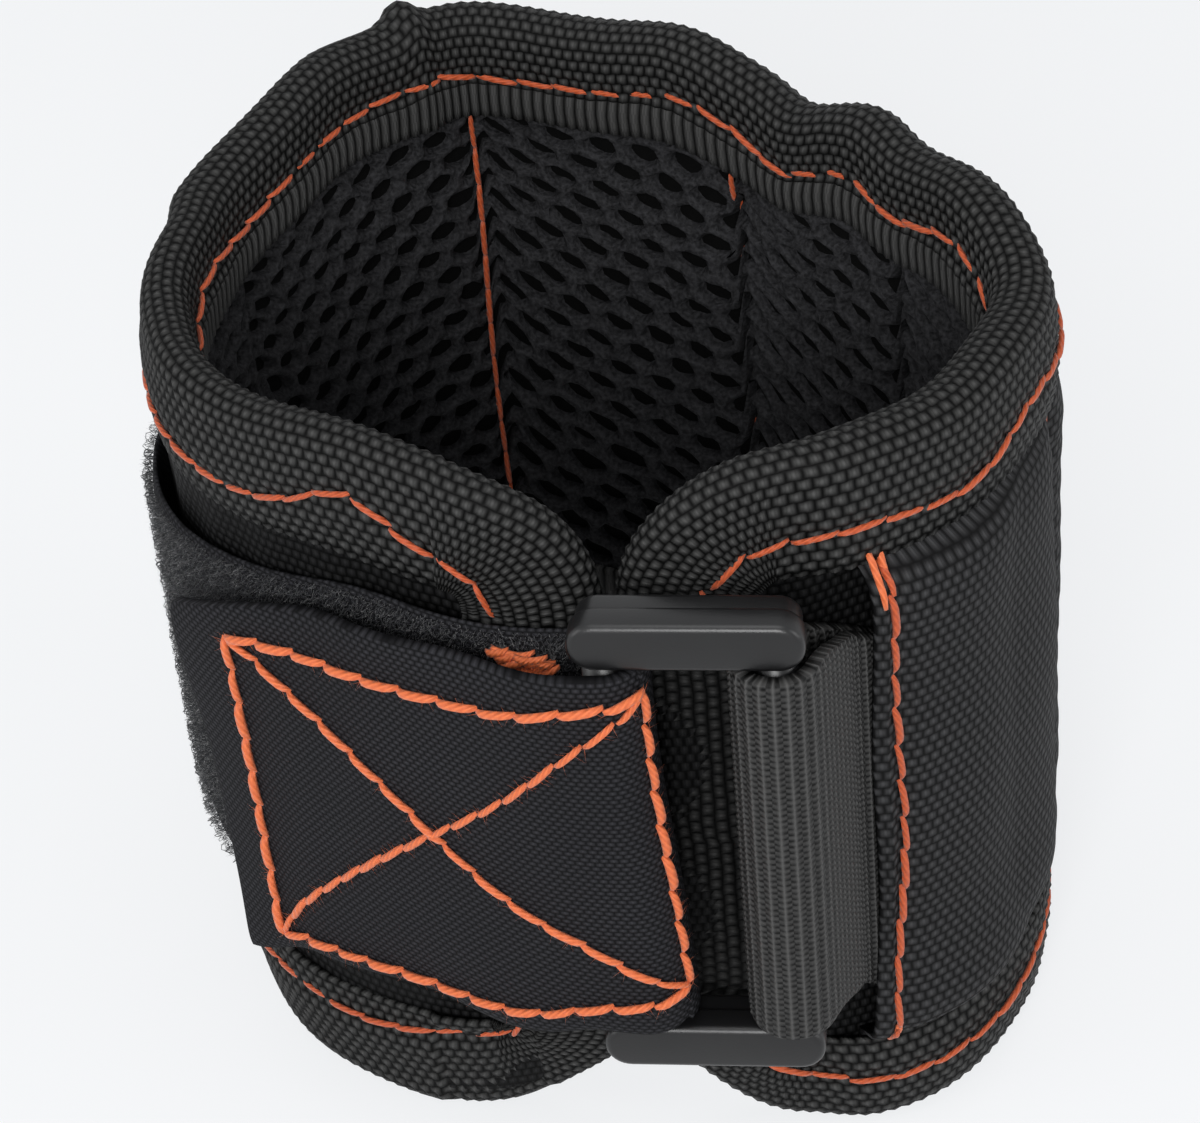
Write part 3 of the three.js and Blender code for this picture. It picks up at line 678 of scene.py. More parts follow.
def hard_finish(name, roughness, play, cloud, dark, light, grain=None, **constants):
    """A moulded or plated face: clouds in its colour and gloss, and a fine grain if it has one."""
    finish, shader, start = new_finish(name, roughness, **constants)
    smear = speckle(start, object_at(start), cloud, 3)
    wire(shader, Base_Color=(smear + 0.5).mixed(dark, light), Roughness=roughness + smear * play)
    if grain:
        wire(shader, Normal=relief(start, speckle(start, object_at(start), grain), GRAIN_RELIEF))
    return finish


PLASTIC_DARK = rgb(0.005, 0.005, 0.0055)
PLASTIC_LIGHT = rgb(0.009, 0.009, 0.0095)
RING_PLASTIC = hard_finish(
    "ring_plastic",
    roughness=0.34,
    play=0.16,
    cloud=160,
    dark=PLASTIC_DARK,
    light=PLASTIC_LIGHT,
    grain=5200,
    Specular_IOR_Level=0.42,
)
NICKEL_DARK = rgb(0.5, 0.5, 0.52)
NICKEL_LIGHT = rgb(0.66, 0.66, 0.67)
MAGNET_NICKEL = hard_finish(
    "magnet_nickel",
    roughness=0.28,
    play=0.2,
    cloud=400,
    dark=NICKEL_DARK,
    light=NICKEL_LIGHT,
    Metallic=1,
)
for name, node in frame["nodes"].items():
    if name.startswith("magnet_"):
        node.data.materials.clear()
        node.data.materials.append(MAGNET_NICKEL)
print("finishes", len(bpy.data.materials))

# %% [markdown]
# ## Sheets with a thickness
# Most layers are two grids of points, an outer face and an inner face, joined round their borders.
# Drawing both faces by formula keeps the thickness true where the cloth is pinched or puffed.

# %% Mesh helpers


def mesh_piece(name, points, faces, finish, uv=None, loop_length=None):
    """A new object from points in metres, with a UV map in millimetres that may close on itself."""
    mesh = bpy.data.meshes.new(name)
    mesh.from_pydata(np.reshape(points, (-1, 3)).tolist(), [], faces)
    mesh.validate()
    if uv is not None:
        corner_points = np.empty(len(mesh.loops), np.int32)
        mesh.loops.foreach_get("vertex_index", corner_points)
        corner_uv = np.reshape(uv, (-1, 2))[corner_points]
        if loop_length:
            along = corner_uv[:, 0].reshape(-1, 4)
            behind = along.max(axis=1, keepdims=True) - along > loop_length / 2
            corner_uv[:, 0] = (along + behind * loop_length).ravel()
        layer = mesh.uv_layers.new(name="cloth")
        layer.data.foreach_set("uv", corner_uv.astype(np.float32).ravel())
    mesh.materials.append(finish)
    mesh.shade_smooth()
    return added(name, mesh)


def grid_faces(rows, columns, first=0, wrap_rows=False, wrap_columns=False):
    """Quads over a grid of points that are numbered row by row."""
    faces = []
    for i in range(rows if wrap_rows else rows - 1):
        here = first + i * columns
        above = first + (i + 1) % rows * columns
        for j in range(columns if wrap_columns else columns - 1):
            beside = (j + 1) % columns
            faces.append((here + j, above + j, above + beside, here + beside))
    return faces


def border_of(rows, columns):
    """The point numbers round the border of a grid."""
    right = [i * columns + columns - 1 for i in range(1, rows)]
    top = [(rows - 1) * columns + j for j in range(columns - 2, -1, -1)]
    left = [i * columns for i in range(rows - 2, 0, -1)]
    return [*range(columns), *right, *top, *left]


print("border of a small grid", border_of(3, 3))

# %% Closed sheets


def facing_out(piece):
    """Turns the faces of a closed piece outwards."""
    work = bmesh.new()
    work.from_mesh(piece.data)
    bmesh.ops.recalc_face_normals(work, faces=work.faces)
    work.to_mesh(piece.data)
    work.free()
    return piece


def shell(name, outer, inner, finish, along, across):
    """A sheet with an outer and an inner face, each a grid of points, joined round the border."""
    rows, columns = outer.shape[:2]
    count = rows * columns
    faces = grid_faces(rows, columns)
    faces += [face[::-1] for face in grid_faces(rows, columns, count)]
    border = border_of(rows, columns)
    for here, beside in zip(border, border[1:] + border[:1]):
        faces.append((here, beside, beside + count, here + count))
    uv = rows_of(along, across)
    return facing_out(mesh_piece(name, np.stack([outer, inner]), faces, finish, np.stack([uv, uv])))


def triangles(piece):
    """The number of triangles in a piece."""
    return sum(len(face.vertices) - 2 for face in piece.data.polygons)


def report(*pieces):
    """Prints the size of finished pieces."""
    for piece in pieces:
        print(piece.name, triangles(piece), "triangles")


print("closed sheets ready")

# %% [markdown]
# ## The hinge at the back
# The band's two halves hinge at the spine. The cloth is not cut there, so each layer is one piece.
# The direction towards the left half, across the plane through the hinge axis and the gap at the
# front, is worked out and printed, and each layer that crosses the spine has its place baked into its mesh.

# %% Across the spine
GAP_D = -2
gap_point = plan_offset(RIGHT_END + END_GAP / 2, GAP_D) + hoop_to_frame
to_left = np.array([*left_of(unit(gap_point - spine)), 0])
to_left = to_left * -np.sign(to_left[0])


def across_spine(piece):
    """Bakes the piece's place into its mesh."""
    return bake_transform(piece)


print("towards the left half", to_left.round(4))

# %% [markdown]
# ## Backing cloth
# The backing is the cloth that everything is sewn to. Most of it is hidden, but it shows above and
# beside the strap and the elastic at the front. It is a flat rectangle with rounded corners, and it
# stops inside the edge tape.

# %% Backing
LAYER_INSET = 2.7
LAYER_FROM = LEFT_END + LAYER_INSET
LAYER_TO = RIGHT_END - LAYER_INSET
LAYER_STEP = 1.4
LAYER_ROWS = 49
BACKING_THICKNESS = 1
CREASE = 0.12
CREASE_MIDDLE = 60
CREASE_REACH = 9


def corner_cut(s):
    """How far the rounded corner cuts down a layer's edge at s."""
    radius = CORNER_RADIUS - LAYER_INSET
    to_end = np.minimum(RIGHT_END - s, s - LEFT_END) - LAYER_INSET
    inside = np.clip(radius - np.clip(to_end, 0, None), 0, radius)
    return radius - np.sqrt(radius**2 - inside**2)


columns = math.ceil((LAYER_TO - LAYER_FROM) / LAYER_STEP) + 1
layer_s = np.linspace(LAYER_FROM, LAYER_TO, columns)
layer_low = LAYER_INSET + corner_cut(layer_s)
layer_z = layer_low + (BAND_HEIGHT - 2 * layer_low) * np.linspace(0, 1, LAYER_ROWS)[:, None]
crease = CREASE * np.sin(layer_s * 0.9 + 1.5 * np.sin(layer_z / 9))
crease = crease * swell(layer_z, CREASE_MIDDLE, CREASE_REACH)
backing = shell(
    "backing_cloth",
    place(layer_s, crease, layer_z),
    place(layer_s, -BACKING_THICKNESS, layer_z),
    BACKING_SHADED_CLOTH,
    layer_s,
    layer_z,
)
across_spine(backing)
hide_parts("backing_panel_left", "backing_panel_right")
report(backing)

# %% [markdown]
# ## Pocket panel
# The outer panel is puffed out by the magnets and drawn in at each seam. Along the front right it is
# folded under to a welt, over the ends of the elastic. The formula is the solid model's, with a
# groove at each stitch line and small puckers beside it, because thread always pulls cloth in.

# %% Form of the panel
PANEL_FLAT = CLEARANCE
PANEL_THICKNESS = 0.8
POCKET_RISE = 2.05
POCKET_SQUARE_ALONG = 4
POCKET_SQUARE_UP = 12
TUCK_SQUARE_UP = 30
ELASTIC_THICKNESS = 1.3
ELASTIC_TUCK = 4
ELASTIC_STACK = 2 * (ELASTIC_THICKNESS + CLEARANCE)
STRAP_THICKNESS = 1.5
STRAP_TUCK = 4
STRAP_STACK = STRAP_THICKNESS + 2 * CLEARANCE
BINDING_LEG = 11
PUFF_EDGE = BINDING_LEG + CLEARANCE
WELT = 1.8
WELT_RISE = 0.4
PANEL_LEFT_EDGE = SEAM_LEFT - WELT
PANEL_RIGHT_EDGE = SEAM_RIGHT + WELT
SEAM_PITCH = 3.9
GROOVE = 0.55
GROOVE_WIDTH = 1.1
PUCKER = 0.08
PUCKER_WIDTH = 5
SLACK = 0.22
SEWN_HEIGHTS = (9, 12, 63, 66)
SLACK_HEIGHTS = (8, 20, 56, 68)
SEAM_LEAN = 0.9
SEAM_LEAN_HEIGHTS = (8, 40)
SEAM_BACK_SET = 0.2


def pillow(share, power):
    """0 at both ends and 1 in the middle, the squarer the higher the power."""
    return 1 - np.clip(np.abs(2 * share - 1), 0, 1) ** power


def seam_share(s):
    """The place of s between its two seams, from 0 to 1, and 0 outside the pockets."""
    share = np.zeros_like(s)
    for left, right in zip(SEAMS, SEAMS[1:]):
        share = np.where((s >= left) & (s < right), (s - left) / (right - left), share)
    return share


def tuck_rise(s):
    """Room under the panel's edges for the strap's tail and the elastic's ends."""
    right = smooth(s, SEAM_RIGHT - 6 * ELASTIC_TUCK, SEAM_RIGHT - ELASTIC_TUCK - 1)
    left = 1 - smooth(s, SEAM_LEFT + STRAP_TUCK + 1, SEAM_LEFT + 3 * STRAP_TUCK)
    return np.maximum(right * ELASTIC_STACK, left * STRAP_STACK)


def panel_inner(s, z):
    """The panel's underside: flat at the edges, and raised over the magnets and the tucked ends."""
    height = np.clip((z - PUFF_EDGE) / (BAND_HEIGHT - 2 * PUFF_EDGE), 0, 1)
    pocket = POCKET_RISE * pillow(seam_share(s), POCKET_SQUARE_ALONG) * pillow(height, POCKET_SQUARE_UP)
    return PANEL_FLAT + np.maximum(pocket, tuck_rise(s) * pillow(height, TUCK_SQUARE_UP))


def seam_lean(z):
    """The front right seam runs a little towards the ring at its lower end."""
    return SEAM_LEAN * (1 - smooth(z, *SEAM_LEAN_HEIGHTS)) - SEAM_BACK_SET


def panel_outer(s, z):
    """The panel's face, with its stitch grooves and puckers."""
    face = panel_inner(s, z) + PANEL_THICKNESS
    sewn = between(z, *SEWN_HEIGHTS)
    for seam in SEAMS:
        near = swell(s, seam, GROOVE_WIDTH) * sewn
        beside = swell(s, seam, PUCKER_WIDTH) * sewn
        face = face - GROOVE * near + PUCKER * beside * np.cos(2 * math.pi * z / SEAM_PITCH)
    face = face + WELT_RISE * swell(s, SEAM_RIGHT + 1.1, 0.8) * sewn
    slack = SLACK * np.sin(s / 5.1 + z / 7) * np.sin(z / 9.3 - s / 8)
    return face + slack * between(z, *SLACK_HEIGHTS)


print("panel from", round(PANEL_LEFT_EDGE, 1), "to", round(PANEL_RIGHT_EDGE, 1), "mm")

# %% Pocket panel
PANEL_STEP = 0.75
PANEL_ROWS = 90
WELT_WAVE = 0.2
EDGE_TURN = 0.5
EDGE_TURN_FROM = PANEL_RIGHT_EDGE - 0.9
LEAN_REACH = 12
PANEL_UNDERLAP = 0.15
columns = np.append(np.arange(PANEL_LEFT_EDGE, PANEL_RIGHT_EDGE, PANEL_STEP), PANEL_RIGHT_EDGE)
heights = np.linspace(LAYER_INSET, BAND_HEIGHT - LAYER_INSET, PANEL_ROWS)
panel_s, panel_z = np.meshgrid(columns, heights)
panel_shift = WELT_WAVE * np.sin(panel_z / 5.5) * smooth(panel_s, SEAM_RIGHT, PANEL_RIGHT_EDGE)
panel_shift += seam_lean(panel_z) * smooth(panel_s, SEAM_RIGHT - LEAN_REACH, SEAM_RIGHT)
edge_turn = EDGE_TURN * smooth(panel_s, EDGE_TURN_FROM, PANEL_RIGHT_EDGE) ** 2
panel = shell(
    "pocket_panel",
    place(panel_s + panel_shift, panel_outer(panel_s, panel_z) - edge_turn, panel_z),
    place(panel_s + panel_shift, panel_inner(panel_s, panel_z) - PANEL_UNDERLAP, panel_z),
    SHELL_CLOTH,
    panel_s,
    panel_z,
)
across_spine(panel)
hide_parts("pocket_panel_left", "pocket_panel_right")
report(panel)

# %% [markdown]
# ## Mesh lining
# Against the wrist lies a spacer mesh: a knitted net of rounded strands over a foam sheet, whose
# near-black colour is painted shade for the depth of the mesh. The net is a repeat, so Geometry Nodes
# make it flat. A staggered grid is cut into triangles, its dual is a sheet of hexagons, and each
# hexagon is shrunk twice and opened to make a hole. One subdivision rounds the strands. The flat net
# is then laid on the hoop by the same formula as every other layer.

# %% Helpers for geometry trees


def geometry_tree(name, *labels):
    """A new tree with named inputs: its input signals, and the group output node."""
    tree = bpy.data.node_groups.new(name, "GeometryNodeTree")
    for way in ("INPUT", "OUTPUT"):
        tree.interface.new_socket("Geometry", in_out=way, socket_type="NodeSocketGeometry")
    for label in labels:
        kind = "NodeSocketInt" if label == "Seed" else "NodeSocketFloat"
        tree.interface.new_socket(label, in_out="INPUT", socket_type=kind)
    entry = tree.nodes.new("NodeGroupInput")
    leave = tree.nodes.new("NodeGroupOutput")
    signals = {label: Signal(tree, entry.outputs[label]) for label in ["Geometry", *labels]}
    return tree, signals, leave


def close_tree(leave, shape, finish):
    """Ends a tree: real geometry, one material, and the output."""
    real = shape.node("GeometryNodeRealizeInstances", {"Geometry": shape})
    painted = shape.node("GeometryNodeSetMaterial", {"Geometry": real, "Material": finish})
    shape.tree.links.new(painted.socket, leave.inputs[0])


def moved(shape, offset, **chosen):
    """A shape with its points, or the chosen ones, moved by an offset."""
    return shape.node("GeometryNodeSetPosition", {"Geometry": shape, "Offset": offset, **chosen})


def scaled(vector, scale):
    """A vector signal times a number."""
    return vector.node("ShaderNodeVectorMath", {0: vector, "Scale": scale}, operation="SCALE")


print("trees ready")

# %% What trees work on


def carried(shape, label, kind="FLOAT_VECTOR"):
    """What the points of a shape carry under a name."""
    return shape.node("GeometryNodeInputNamedAttribute", {0: label}, data_type=kind)


def carry(piece, label, values):
    """Stores a number or a vector on each point of a piece, for a geometry tree to read."""
    values = np.asarray(values, np.float32)
    kind, field = ("FLOAT_VECTOR", "vector") if values.ndim == 2 else ("FLOAT", "value")
    layer = piece.data.attributes.new(label, kind, "POINT")
    layer.data.foreach_set(field, values.ravel())


def points_piece(name, points, **attributes):
    """Loose points that carry vectors or numbers, for a geometry tree to work on."""
    mesh = bpy.data.meshes.new(name)
    mesh.from_pydata(np.reshape(points, (-1, 3)).tolist(), [], [])
    piece = added(name, mesh)
    for label, values in attributes.items():
        carry(piece, label, values)
    return piece


def grown(piece, tree, values, name):
    """The plain mesh that a geometry tree makes on a piece, as a new object."""
    modifier = piece.modifiers.new(tree.name, "NODES")
    modifier.node_group = tree
    for label, value in values.items():
        modifier[tree.interface.items_tree[label].identifier] = value
    graph = bpy.context.evaluated_depsgraph_get()
    mesh = bpy.data.meshes.new_from_object(piece.evaluated_get(graph))
    mesh.name = name
    mesh.shade_smooth()
    bpy.data.objects.remove(piece)
    return added(name, mesh)


print("pieces for trees ready")

# %% The net, flat
HOLE_PITCH = 4.6
HOLE_ROW = 2.55
HOLE_PLAY = (0.45, 0.35, 0)
STRAND_RISE = 0.85
STRAND_STEPS = ((0.82, 0.2), (0.76, 1.9))
NET_FRAY = 1.1
FRAY_SCALE = 0.9
FAR_ROWS = 1000.25


def net_tree():
    """A sheet of hexagonal holes between rounded strands."""
    labels = ["Length", "Height", "Hole pitch", "Row pitch", "Strand rise", "Fray"]
    tree, given, leave = geometry_tree("knit_net", *labels)
    length, height, pitch, row, rise, fray = (given[label] for label in labels)
    counts = {2: (length / pitch).rounded(), 3: (height / row).rounded()}
    grid = pitch.node("GeometryNodeMeshGrid", {0: length, 1: height, **counts})
    here = pitch.node("GeometryNodeInputPosition")
    up = pitch.node("ShaderNodeSeparateXYZ", {0: here}).beside(1)
    odd = (up / row + FAR_ROWS).floor() % 2
    staggered = moved(grid, pitch.node("ShaderNodeCombineXYZ", {0: odd * pitch * 0.5}))
    values = {0: tuple(-part for part in HOLE_PLAY), 1: HOLE_PLAY, "Seed": 6}
    loose = moved(staggered, pitch.node("FunctionNodeRandomValue", values, data_type="FLOAT_VECTOR"))
    cut = pitch.node("GeometryNodeTriangulate", {"Mesh": loose})
    cells = pitch.node("GeometryNodeDualMesh", {"Mesh": cut})
    shape = moved(cells, pitch.node("ShaderNodeCombineXYZ", {2: rise}))
    chosen = {}
    for shrink, drop in STRAND_STEPS:
        values = {"Mesh": shape, "Offset Scale": 0.0, "Individual": True, **chosen}
        drawn = pitch.node("GeometryNodeExtrudeMesh", values, mode="FACES")
        chosen = {"Selection": drawn.beside("Top")}
        values = {"Geometry": drawn, "Scale": shrink, **chosen}
        narrowed = pitch.node("GeometryNodeScaleElements", values, domain="FACE")
        shape = moved(narrowed, pitch.node("ShaderNodeCombineXYZ", {2: rise * (0 - drop)}), **chosen)
    opened = pitch.node("GeometryNodeDeleteGeometry", {"Geometry": shape, **chosen}, domain="FACE")
    soft = pitch.node("GeometryNodeSubdivisionSurface", {"Mesh": opened, "Level": 1})
    values = {"Vector": here, "Scale": FRAY_SCALE, "Detail": 2}
    cloud = pitch.node("ShaderNodeTexNoise", values, out=1)
    values = {0: cloud, 1: (0.5, 0.5, 0.5)}
    drift = pitch.node("ShaderNodeVectorMath", values, operation="SUBTRACT")
    close_tree(leave, moved(soft, scaled(drift, fray)), KNIT_MESH)
    return tree


net_sizes = {
    "Length": RIGHT_END - LEFT_END + 2 * HOLE_PITCH,
    "Height": BAND_HEIGHT + 2 * HOLE_ROW,
    "Hole pitch": HOLE_PITCH,
    "Row pitch": HOLE_ROW,
    "Strand rise": STRAND_RISE,
    "Fray": NET_FRAY,
}
net = grown(points_piece("net_seed", [(0, 0, 0)]), net_tree(), net_sizes, "lining_net")
print("flat net", triangles(net), "triangles")

# %% The net, laid on the hoop
LINING_THICKNESS = 2.2
LINING_PINCH = 1.2
LINING_SQUARE = 5
LINING_SLACK = 0.15
PINCHED_HEIGHTS = (6, 12, 63, 69)
LINING_BACK = -BACKING_THICKNESS - CLEARANCE
LINING_FACE = LINING_BACK - LINING_THICKNESS
PULL = 8
PULL_REACH = 8
FOAM_BELOW_NET = 1.15


def lining_face(s, z):
    """The wrist side of the lining, drawn in deep along the seams."""
    pinch = LINING_PINCH * (1 - pillow(seam_share(s), LINING_SQUARE)) * between(z, *PINCHED_HEIGHTS)
    inside = (s > SEAM_LEFT) & (s < SEAM_RIGHT)
    slack = LINING_SLACK * np.sin(s / 5 + z / 7) * np.sin(z / 8)
    return LINING_FACE + np.where(inside, pinch, 0) + slack


def net_pull(s, z):
    """Each seam drags the rows of the net up on one side, so they run down from it in curves."""
    pull = np.zeros_like(s)
    for seam in SEAMS:
        past = np.clip(s - seam, 0, None)
        pull += smooth(s, seam - 0.8, seam + 1.4) * np.exp(-past / PULL_REACH)
    return PULL * pull * np.sin(math.pi * np.clip(z / BAND_HEIGHT, 0, 1))


net_points = np.empty(len(net.data.vertices) * 3, np.float32)
net.data.vertices.foreach_get("co", net_points)
net_x, net_y, net_rise = net_points.reshape(-1, 3).astype(float).T
net_s = net_x + (LEFT_END + RIGHT_END) / 2
net_z = net_y + BAND_HEIGHT / 2
net_z = net_z + net_pull(net_s, net_z)
net_low = LAYER_INSET + corner_cut(np.clip(net_s, LAYER_FROM, LAYER_TO))
fits = (net_s > LAYER_FROM) & (net_s < LAYER_TO) & (net_z > net_low) & (net_z < BAND_HEIGHT - net_low)
net_d = lining_face(net_s, net_z) + STRAND_RISE - net_rise
net.data.vertices.foreach_set("co", place(net_s, net_d, net_z).astype(np.float32).ravel())
work = bmesh.new()
work.from_mesh(net.data)
work.verts.ensure_lookup_table()
bmesh.ops.delete(work, geom=[work.verts[i] for i in np.flatnonzero(~fits)], context="VERTS")
bmesh.ops.reverse_faces(work, faces=work.faces)
work.to_mesh(net.data)
work.free()
# Painted shade: the foam's near-black finish stands for the shaded depth under the net.
foam = shell(
    "lining_foam",
    place(layer_s, LINING_BACK, layer_z),
    place(layer_s, lining_face(np.broadcast_to(layer_s, layer_z.shape), layer_z) + FOAM_BELOW_NET, layer_z),
    MESH_DEPTH_SHADE,
    layer_s,
    layer_z,
)
across_spine(foam)
across_spine(net)
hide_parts("mesh_lining_left", "mesh_lining_right")
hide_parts("mesh_lining_left", "mesh_lining_right")
report(net, foam)

# %% [markdown]
# ## Edge binding
# One woven tape is folded over the whole edge and sewn through. Its section is a leg outside, a round
# crest, and a leg inside. The section runs round the outline as a closed loop. It is pressed in along
# the stitch line, and the tape bulges a little between stitches.

# %% Path of the binding
SIDE_STEPS = 800
CORNER_STEPS = 200


def rough_edge():
    """The band's outline in close steps: s, z, and the direction into the band."""
    radius = CORNER_RADIUS
    first, last = LEFT_END + radius, RIGHT_END - radius
    upper, lower = BAND_HEIGHT - radius, radius

    def side(from_s, from_z, to_s, to_z, into_s, into_z):
        share = np.linspace(0, 1, SIDE_STEPS, endpoint=False)
        return rows_of(from_s + (to_s - from_s) * share, from_z + (to_z - from_z) * share, into_s, into_z)

    def corner(centre_s, centre_z, from_angle):
        angle = from_angle - np.linspace(0, math.pi / 2, CORNER_STEPS, endpoint=False)
        out_s, out_z = np.cos(angle), np.sin(angle)
        return rows_of(centre_s + radius * out_s, centre_z + radius * out_z, -out_s, -out_z)

    return np.concatenate([
        side(first, BAND_HEIGHT, last, BAND_HEIGHT, 0, -1),
        corner(last, upper, math.pi / 2),
        side(RIGHT_END, upper, RIGHT_END, lower, -1, 0),
        corner(last, lower, 0),
        side(last, 0, first, 0, 0, 1),
        corner(first, lower, -math.pi / 2),
        side(LEFT_END, lower, LEFT_END, upper, 1, 0),
        corner(first, upper, -math.pi),
    ])


rough = rough_edge()
rough = np.vstack([rough, rough[:1]])
rough_run = run_along(rough[:, :2])
EDGE_ROUND = rough_run[-1]
EDGE_YARNS = 2 * round(EDGE_ROUND / YARN_ALONG / 2)
EDGE_STITCHES = round(EDGE_ROUND / SEAM_PITCH)
edge_length = np.arange(EDGE_YARNS) * EDGE_ROUND / EDGE_YARNS
edge = along_row(rough, rough_run, edge_length)
print("binding", EDGE_YARNS, "yarns,", round(EDGE_ROUND, 1), "mm round")

# %% [markdown]
# The stitch line wanders along the tape, as a seam that is led by hand does. Its depth below the
# crest decides where the tape is pressed in, so one function gives it to the tape and to the thread.

# %% Stitch line of the binding
TAPE_JOINT_S = -5.6
TAPE_JOINT_WIDTH = 1.6
TAPE_JOINT_HEIGHTS = (60, 70)
TAPE_DOUBLE = [TAPE_JOINT_S + past for past in (-13, -9, 0, 2)]
RIGHT_END_PART = (RIGHT_END - 20, RIGHT_END - 15)
BETWEEN_RAILS = (12, 20, 58, 64)
UPPER_PART = (30, 45)
STITCH_WANDER = [(0.4, 6.3, 0), (0.25, 2.9, 1)]
INNER_STITCH = 5.6
INNER_TOP_HUMPS = [(-0.9, 60, 8), (-0.8, -36, 8)]
OUTER_STITCH = 7.6
OUTER_TOP_HUMPS = [(-2.4, -86, 4.5), (1.6, -99, 6), (-1.2, 80, 9)]
OUTER_LOW_HUMPS = [(3, -88, 13), (1.4, -98, 7), (-2.2, 94, 10)]
DEEPER_BESIDE_ELASTIC = 3.4


def beside_elastic(s, z):
    """1 on the band's right end between the ring's rails, and 0 elsewhere."""
    return smooth(s, *RIGHT_END_PART) * between(z, *BETWEEN_RAILS)


def tape_joint(s, z):
    """The pucker where the tape's ends meet, and the stretch where it lies double."""
    high = smooth(z, *TAPE_JOINT_HEIGHTS)
    return swell(s, TAPE_JOINT_S, TAPE_JOINT_WIDTH) * high, between(s, *TAPE_DOUBLE) * high


def stitch_depth(s, z, outside):
    """How deep the stitch line runs below the crest."""
    top = smooth(z, *UPPER_PART)
    wander = waves(s, STITCH_WANDER)
    if not outside:
        return INNER_STITCH + wander + top * humps(s, INNER_TOP_HUMPS)
    hidden = DEEPER_BESIDE_ELASTIC * beside_elastic(s, z)
    shown = top * humps(s, OUTER_TOP_HUMPS) + (1 - top) * humps(s, OUTER_LOW_HUMPS)
    return OUTER_STITCH + wander + hidden + shown


print("stitch at the front", round(float(stitch_depth(FRONT_S, BAND_HEIGHT, True)), 2), "mm deep")

# %% Section of the binding
BINDING_THICKNESS = 0.8
INNER_LEG = 10.2
CREST = 2.2
CREST_SLIM = 0.8
BINDING_INNER = LINING_FACE - CLEARANCE
TAPE_GROOVE = 0.55
TAPE_GROOVE_WIDTH = 1.3
INNER_GROOVE = 1.3
STITCH_RIPPLE = 0.12
OUTER_TAPER = 0.5
INNER_TAPER = 0.3
JOINT_BULGE = 0.45
JOINT_RISE = 1.7
JOINT_DEPTHS = (3, 9)
PAST_STITCH = 0.5
DOUBLE_BULGE = 0.22
WIDER_HUMPS = [(1.5, -88, 14), (1.2, -98, 8)]
WIDER_BELOW = 40
WIDER_BESIDE_ELASTIC = 2.5
ROLL = 0.18
ROLLS = 29
SECTION_STEPS = 40


def binding_over(s):
    """The face that the outer leg lies on: the panel, or the backing past the panel's edges."""
    ease = BINDING_LEG / 2
    right = 1 - smooth(s, PANEL_RIGHT_EDGE, PANEL_RIGHT_EDGE + ease)
    left = smooth(s, PANEL_LEFT_EDGE - ease, PANEL_LEFT_EDGE)
    return CLEARANCE + (PANEL_FLAT + PANEL_THICKNESS) * np.minimum(right, left)


def binding_face(s, z, into_s, depth, length, outside):
    """Distance of the tape's face at a depth: slim at the crest, drawn in at the stitch."""
    at_s = s + into_s * depth
    sewn = stitch_depth(at_s, z, outside)
    ripple = STITCH_RIPPLE * np.cos(2 * math.pi * length / EDGE_ROUND * EDGE_STITCHES)
    groove = swell(depth, sewn, TAPE_GROOVE_WIDTH) * (TAPE_GROOVE + ripple)
    joint, double = tape_joint(at_s, z)
    slim = CREST_SLIM * (1 - smooth(depth, CREST, sewn)) - JOINT_BULGE * joint - DOUBLE_BULGE * double
    if outside:
        taper = OUTER_TAPER * smooth(depth, sewn + PAST_STITCH, BINDING_LEG)
        return binding_over(at_s) + BINDING_THICKNESS - groove - slim - taper
    taper = INNER_TAPER * smooth(depth, sewn + PAST_STITCH, INNER_LEG)
    return BINDING_INNER - BINDING_THICKNESS + INNER_GROOVE * groove + slim + taper


def binding_line(s, z, into_s, length):
    """Depth and distance along the tape's skin, from the outer leg's end to the inner leg's."""
    wide = humps(s, WIDER_HUMPS) * (z < WIDER_BELOW) + WIDER_BESIDE_ELASTIC * beside_elastic(s, z)
    outer = np.linspace(BINDING_LEG + wide, CREST, SECTION_STEPS)
    inner = np.linspace(CREST, INNER_LEG, SECTION_STEPS)
    d_out = binding_face(s, z, into_s, outer, length, True)
    d_in = binding_face(s, z, into_s, inner, length, False)
    turn = np.linspace(0, math.pi, SECTION_STEPS)[1:-1]
    middle, half = (d_out[-1] + d_in[0]) / 2, (d_out[-1] - d_in[0]) / 2
    depth = np.concatenate([outer, CREST * (1 - np.sin(turn)), inner])
    d = np.concatenate([d_out, middle + half * np.cos(turn), d_in])
    roll = ROLL * np.sin(2 * math.pi * length / EDGE_ROUND * ROLLS + 2 * np.sin(length / 40))
    depth = depth - JOINT_RISE * tape_joint(s, z)[0] * (1 - smooth(depth, *JOINT_DEPTHS))
    return rows_of(depth, d + roll)


print("tape section", len(binding_line(0, BAND_HEIGHT, 0, 0)), "points")

# %% The strip of the binding
ACROSS_YARNS = 24
UNDER_POINTS = 9
UNDER_DEPTH = 0.7
UNDER_INSET = 0.1


def tape_section(s, z, into_s, into_z, length):
    """The closed section at one step of the edge: the skin, and back along the underside."""
    line = binding_line(s, z, into_s, length)
    run = run_along(line)
    under_line = line + UNDER_DEPTH * left_of(unit(np.gradient(line, axis=0)))
    skin = along_row(line, run, np.linspace(0, run[-1], ACROSS_YARNS + 1))
    under = along_row(under_line, run, np.linspace(run[-1] - UNDER_INSET, UNDER_INSET, UNDER_POINTS))
    depth, d = np.concatenate([skin, under]).T
    return rows_of(s + into_s * depth, d, z + into_z * depth)


